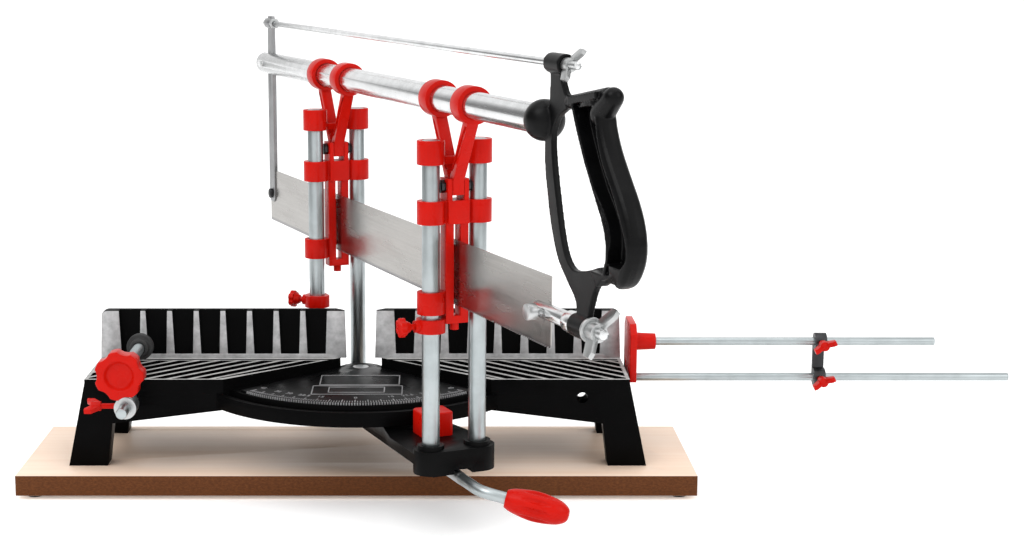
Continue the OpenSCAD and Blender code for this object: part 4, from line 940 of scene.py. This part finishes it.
@dataclass
class FlutedGrip:
    """The lever's grip, with shallow flutes cut along it."""

    node: str = "lever_grip"
    bend: float = 58.0
    bend_radius: float = 15.0
    bend_place: float = 218.0
    drop: float = 15.0
    height: float = 24.0
    neck: float = 9.0
    length: float = 43.0
    radius: float = 10.0
    flutes: int = 9
    flute_reach: float = 1.13
    flute_size: Point = (3.0, 2.2)
    flute_share: float = 0.42
    voxel: float = 0.45
    passes: int = 5
    keep: float = 0.5

    def place(self) -> Matrix:
        """Gives the frame at the grip's inner end, with +Z along it."""
        bend = math.radians(self.bend)
        out = mm(self.bend_radius * (1.0 - math.cos(bend)),
                 -self.bend_place - self.bend_radius * math.sin(bend), 0.0)
        return (arm_matrix() @ Matrix.Translation(mm(0.0, 0.0, BOARD_TOP + self.height))
                @ Matrix.Rotation(math.radians(self.drop), 4, "Y") @ Matrix.Translation(out)
                @ Matrix.Rotation(bend - math.pi / 2.0, 4, "Z") @ Matrix.Rotation(math.pi / 2.0, 4, "Y")
                @ Matrix.Translation(mm(0.0, 0.0, self.neck)))

    def build(self, frame: Frame) -> bpy.types.Object:
        """Cuts the flutes into a copy of the grip and seats it."""
        piece = frame.copy(self.node, f"{self.node}_shown", False)
        cutters = []
        for index in range(self.flutes):
            bpy.ops.mesh.primitive_uv_sphere_add(segments=24, ring_count=16, radius=1.0)
            around = Matrix.Rotation(math.tau * index / self.flutes, 4, "Z")
            there = Matrix.Translation(mm(self.radius * self.flute_reach, 0.0, self.length * 0.5))
            stretch = Matrix.Diagonal((*mm(*self.flute_size, self.length * self.flute_share), 1.0))
            cutters.append(Bench.settle(bpy.context.object, self.place() @ around @ there @ stretch))
        cutter = Bench.join(cutters, "grip_flute_cutter")
        Bench.apply(piece, "BOOLEAN", operation="DIFFERENCE", object=cutter, solver="EXACT", use_self=True)
        bpy.data.objects.remove(cutter)
        Bench.fuse(piece, self.voxel, self.passes, self.keep)
        return frame.seat(piece, self.node, RED_PLASTIC, True)


class Part(Protocol):
    """Anything that builds itself on the frame."""

    def build(self, frame: Frame) -> object:
        """Builds the part's pieces and seats them."""


@dataclass
class Group:
    """Parts of the saw that belong together, built in order."""

    parts: tuple[Part, ...]

    def build(self, frame: Frame) -> None:
        """Builds each part."""
        for part in self.parts:
            part.build(frame)


@dataclass
class Base(Group):
    """The board, the ribbed base, the fences, the quadrant and the dial on it."""

    parts: tuple[Part, ...] = (
        RoundedSolid("base_board", BOARD_WOOD, 0.8),
        RoundedSolid("rubber_feet", RUBBER, 0.6),
        RoundedSolid("board_screws", ZINC, 0.3),
        RoundedSolid("base_casting", TABLE_CAST, 0.3, merged=False),
        RoundedSolid("fence_left", FENCE_CAST, 0.3),
        RoundedSolid("fence_right", FENCE_CAST, 0.3),
        RoundedSolid("fence_screws", ZINC, 0.3),
        RoundedSolid("scale_plate", SCALE_BLACK, 0.3),
        RoundedSolid("pivot_bolt", ZINC, 0.4),
        Dial(),
    )


@dataclass
class Arm(Group):
    """The swing arm with its posts, stops, pawl and lever."""

    parts: tuple[Part, ...] = (
        RoundedSolid("swing_arm", ARM_BLACK, 0.9),
        RoundedSolid("front_left_post", POST_PLATE, 0.6),
        RoundedSolid("front_right_post", POST_PLATE, 0.6),
        RoundedSolid("rear_left_post", POST_PLATE, 0.6),
        RoundedSolid("rear_right_post", POST_PLATE, 0.6),
        RoundedSolid("front_top_guide", RED_PLASTIC, 0.8, 3),
        RoundedSolid("rear_top_guide", RED_PLASTIC, 0.8, 3),
        RoundedSolid("front_depth_stop", RED_PLASTIC, 0.7, 3),
        RoundedSolid("rear_depth_stop", RED_PLASTIC, 0.7, 3),
        RoundedSolid("front_stop_screw", RED_PLASTIC, 0.7, 3),
        RoundedSolid("rear_stop_screw", RED_PLASTIC, 0.7, 3),
        RoundedSolid("index_pawl", RED_PLASTIC, 2.6, 4, fit=0.84),
        RoundedSolid("clamp_lever", POST_PLATE, 0.4),
        FlutedGrip(),
        Thread("clamp_lever", "lever_thread", saw_axis(0.0, 169.0, 24.0), 4.0, 27.0, 1.5, ZINC),
    )


@dataclass
class Saw(Group):
    """The carriages with their hangers, and the framed saw that slides in them."""

    parts: tuple[Part, ...] = (
        RoundedSolid("front_carriage", RED_PLASTIC, 0.7, 3),
        RoundedSolid("rear_carriage", RED_PLASTIC, 0.7, 3),
        RoundedSolid("front_hanger", RED_PLASTIC, 0.6, 3),
        RoundedSolid("rear_hanger", RED_PLASTIC, 0.6, 3),
        RoundedSolid("hanger_bolts", DARK_STEEL, 0.3),
        RoundedSolid("saw_tube", SAW_PLATE, 0.3),
        FusedCasting("handle", GRIP_BLACK, GripWall()),
        RoundedSolid("far_arm", FAR_STEEL, 0.3),
        RoundedSolid("far_arm_pin", ZINC, 0.5),
        RoundedSolid("tension_rod", SAW_PLATE, 0.3),
        RoundedSolid("tension_nuts", ZINC, 0.3),
        RoundedSolid("tension_wing_nut", ZINC, 0.6, 3),
        RoundedSolid("blade", BLADE_STEEL, 0.0),
        RoundedSolid("blade_far_pin", DARK_STEEL, 0.4),
        RoundedSolid("blade_holder", SAW_PLATE, 0.4),
        RoundedSolid("blade_near_pin", ZINC, 0.3),
        RoundedSolid("blade_washer", ZINC, 0.3),
        RoundedSolid("blade_wing_nut", ZINC, 0.7, 3),
        Thread("tension_rod", "tension_thread", saw_axis(0.0, 343.0, 311.5), 2.25, 14.0, 0.8, ZINC, 0.22),
        Thread("tension_rod", "far_tension_thread", saw_axis(0.0, -231.0, 311.5), 2.25, 9.0, 0.8, ZINC, 0.22),
        Thread("blade_holder", "holder_thread", saw_axis(0.0, 380.0, 163.5), 3.0, 14.0, 1.0, ZINC, 0.25),
    )


@dataclass
class Attachments(Group):
    """The work clamp on the left and the length stop on the right."""

    parts: tuple[Part, ...] = (
        RoundedSolid("clamp_rod", ROD_Y_PLATE, 0.7),
        RoundedSolid("clamp_arm", ZINC, 0.8, 3),
        RoundedSolid("clamp_screw", ROD_Y_PLATE, 0.5),
        RoundedSolid("clamp_knob", RED_PLASTIC, 1.6, 4),
        RoundedSolid("clamp_pad", RUBBER, 0.8, 3),
        RoundedSolid("clamp_wing_screw", RED_PLASTIC, 0.7, 3),
        RoundedSolid("stop_lower_rod", ROD_X_PLATE, 0.5),
        RoundedSolid("stop_link", DARK_STEEL, 0.5),
        RoundedSolid("stop_upper_rod", ROD_X_PLATE, 0.5),
        RoundedSolid("stop_plate", RED_PLASTIC, 0.9, 3),
        RoundedSolid("link_lower_screw", RED_PLASTIC, 0.7, 3),
        RoundedSolid("link_upper_screw", RED_PLASTIC, 0.7, 3),
        Thread("clamp_screw", "clamp_thread", front_axis(-165.0, -33.0, 80.0), 4.0, 72.0, 1.5, ROD_Y_PLATE, 0.4),
    )


@dataclass(frozen=True)
class SoftBox:
    """One studio lamp."""

    name: str
    place: Vec
    aim: Vec
    size: Point
    power: float

    def build(self) -> None:
        """Adds the lamp, aimed at its point."""
        bpy.ops.object.light_add(type="AREA", location=self.place)
        lamp = bpy.context.object
        lamp.name = self.name
        lamp.data.shape = "RECTANGLE"
        lamp.data.size, lamp.data.size_y = self.size
        lamp.data.energy = self.power
        lamp.rotation_euler = (Vector(self.aim) - Vector(self.place)).to_track_quat("-Z", "Y").to_euler()


@dataclass
class Studio:
    """The camera, the pale floor, the lamps and the world."""

    camera_place: Vec = (54.4, -1348.0, 381.4 + BOARD_TOP)
    camera_pitch: float = 10.339
    focal_pixels: float = 1798.3
    image_width: float = 1024.0
    centre_column: float = 431.5
    sensor: float = 36.0
    clip: Point = (0.01, 200.0)
    floor_side: float = 60.0
    floor_level: float = -0.00005
    floor_tone: float = 1.0
    floor_haze: float = 0.985
    floor_glow: float = 0.16
    world_light: float = 1.12
    side_shade: float = 0.22
    side_span: Point = (0.62, 0.86)
    lamps: tuple[SoftBox, ...] = (
        SoftBox("key_softbox", (-0.9, -1.1, 1.7), (0.0, -0.05, 0.12), (1.2, 0.9), 9.0),
        SoftBox("fill_softbox", (1.5, -1.0, 1.0), (0.05, -0.1, 0.15), (1.0, 1.0), 4.0),
        SoftBox("top_softbox", (0.1, -0.3, 1.8), (0.0, -0.1, 0.1), (1.6, 1.2), 5.0),
    )

    def camera(self) -> None:
        """Adds the camera at the photograph's viewing angle."""
        bpy.ops.object.camera_add(location=mm(*self.camera_place),
                                  rotation=(math.radians(90.0 - self.camera_pitch), 0.0, 0.0))
        made = bpy.context.object
        made.name = "photo_camera"
        made.data.sensor_fit = "HORIZONTAL"
        made.data.sensor_width = self.sensor
        made.data.lens = self.focal_pixels / self.image_width * self.sensor
        made.data.shift_x = (self.image_width / 2.0 - self.centre_column) / self.image_width
        made.data.clip_start, made.data.clip_end = self.clip
        bpy.context.scene.camera = made

    def floor(self) -> None:
        """Adds the floor, which is white to the camera and keeps the shadow."""
        bpy.ops.mesh.primitive_plane_add(size=self.floor_side, location=(0.0, 0.0, self.floor_level))
        plane = bpy.context.object
        plane.name = "studio_floor"
        graph = Graph("studio_floor_white")
        haze = graph.grain(3.0, 2.0)
        tone = (self.floor_tone,) * 3 + (1.0,)
        graph.set(Base_Color=graph.blend(haze, tone, shade(tone, self.floor_haze)), Roughness=0.9)
        seen = graph.add("ShaderNodeLightPath").outputs["Is Camera Ray"]
        glow = graph.calc("MULTIPLY", seen, self.floor_glow)
        graph.set(Emission_Color=(1.0, 1.0, 1.0, 1.0), Emission_Strength=glow)
        plane.data.materials.append(graph.material)
        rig.stage(plane)

    def world(self) -> None:
        """Sets a white world that lights evenly, with darker sides in reflections."""
        world = bpy.data.worlds.new("studio_world")
        bpy.context.scene.world = world
        world.use_nodes = True
        ground = world.node_tree.nodes["Background"]
        ground.inputs["Color"].default_value = (1.0, 1.0, 1.0, 1.0)
        nodes = Nodes(world.node_tree)
        sideways = nodes.calc("ABSOLUTE", nodes.axis("X", nodes.add("ShaderNodeTexCoord").outputs["Generated"]))
        darker = nodes.span(sideways, *self.side_span, 1.0, self.side_shade)
        glossy = nodes.add("ShaderNodeLightPath").outputs["Is Glossy Ray"]
        level = nodes.blend(glossy, self.world_light, darker, MixKind.FLOAT)
        nodes.wire(level, ground.inputs["Strength"])

    def build(self) -> None:
        """Builds the studio."""
        bpy.context.scene.view_settings.view_transform = "Standard"
        self.camera()
        self.floor()
        self.world()
        for lamp in self.lamps:
            lamp.build()


def keep_sizes(frame: Frame) -> None:
    """Writes the CAD box and the dressed box for comparison."""
    boxes = {"cad": frame.cad_box, "visual": [list(corner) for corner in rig.bounds()]}
    with open(SIZE_FILE, "w", encoding="utf-8") as kept:
        json.dump(boxes, kept)


def main() -> None:
    """Builds the studio, then the saw, and reports each piece."""
    logging.basicConfig(level=logging.INFO, format="%(name)s: %(message)s")
    frame = Frame()
    Bench.clear_selection()
    Studio().build()
    for group in (Base(), Arm(), Saw(), Attachments()):
        group.build(frame)
    keep_sizes(frame)
    LOG.info("%d pieces dressed", len(frame.pieces))


if __name__ == "__main__":
    main()
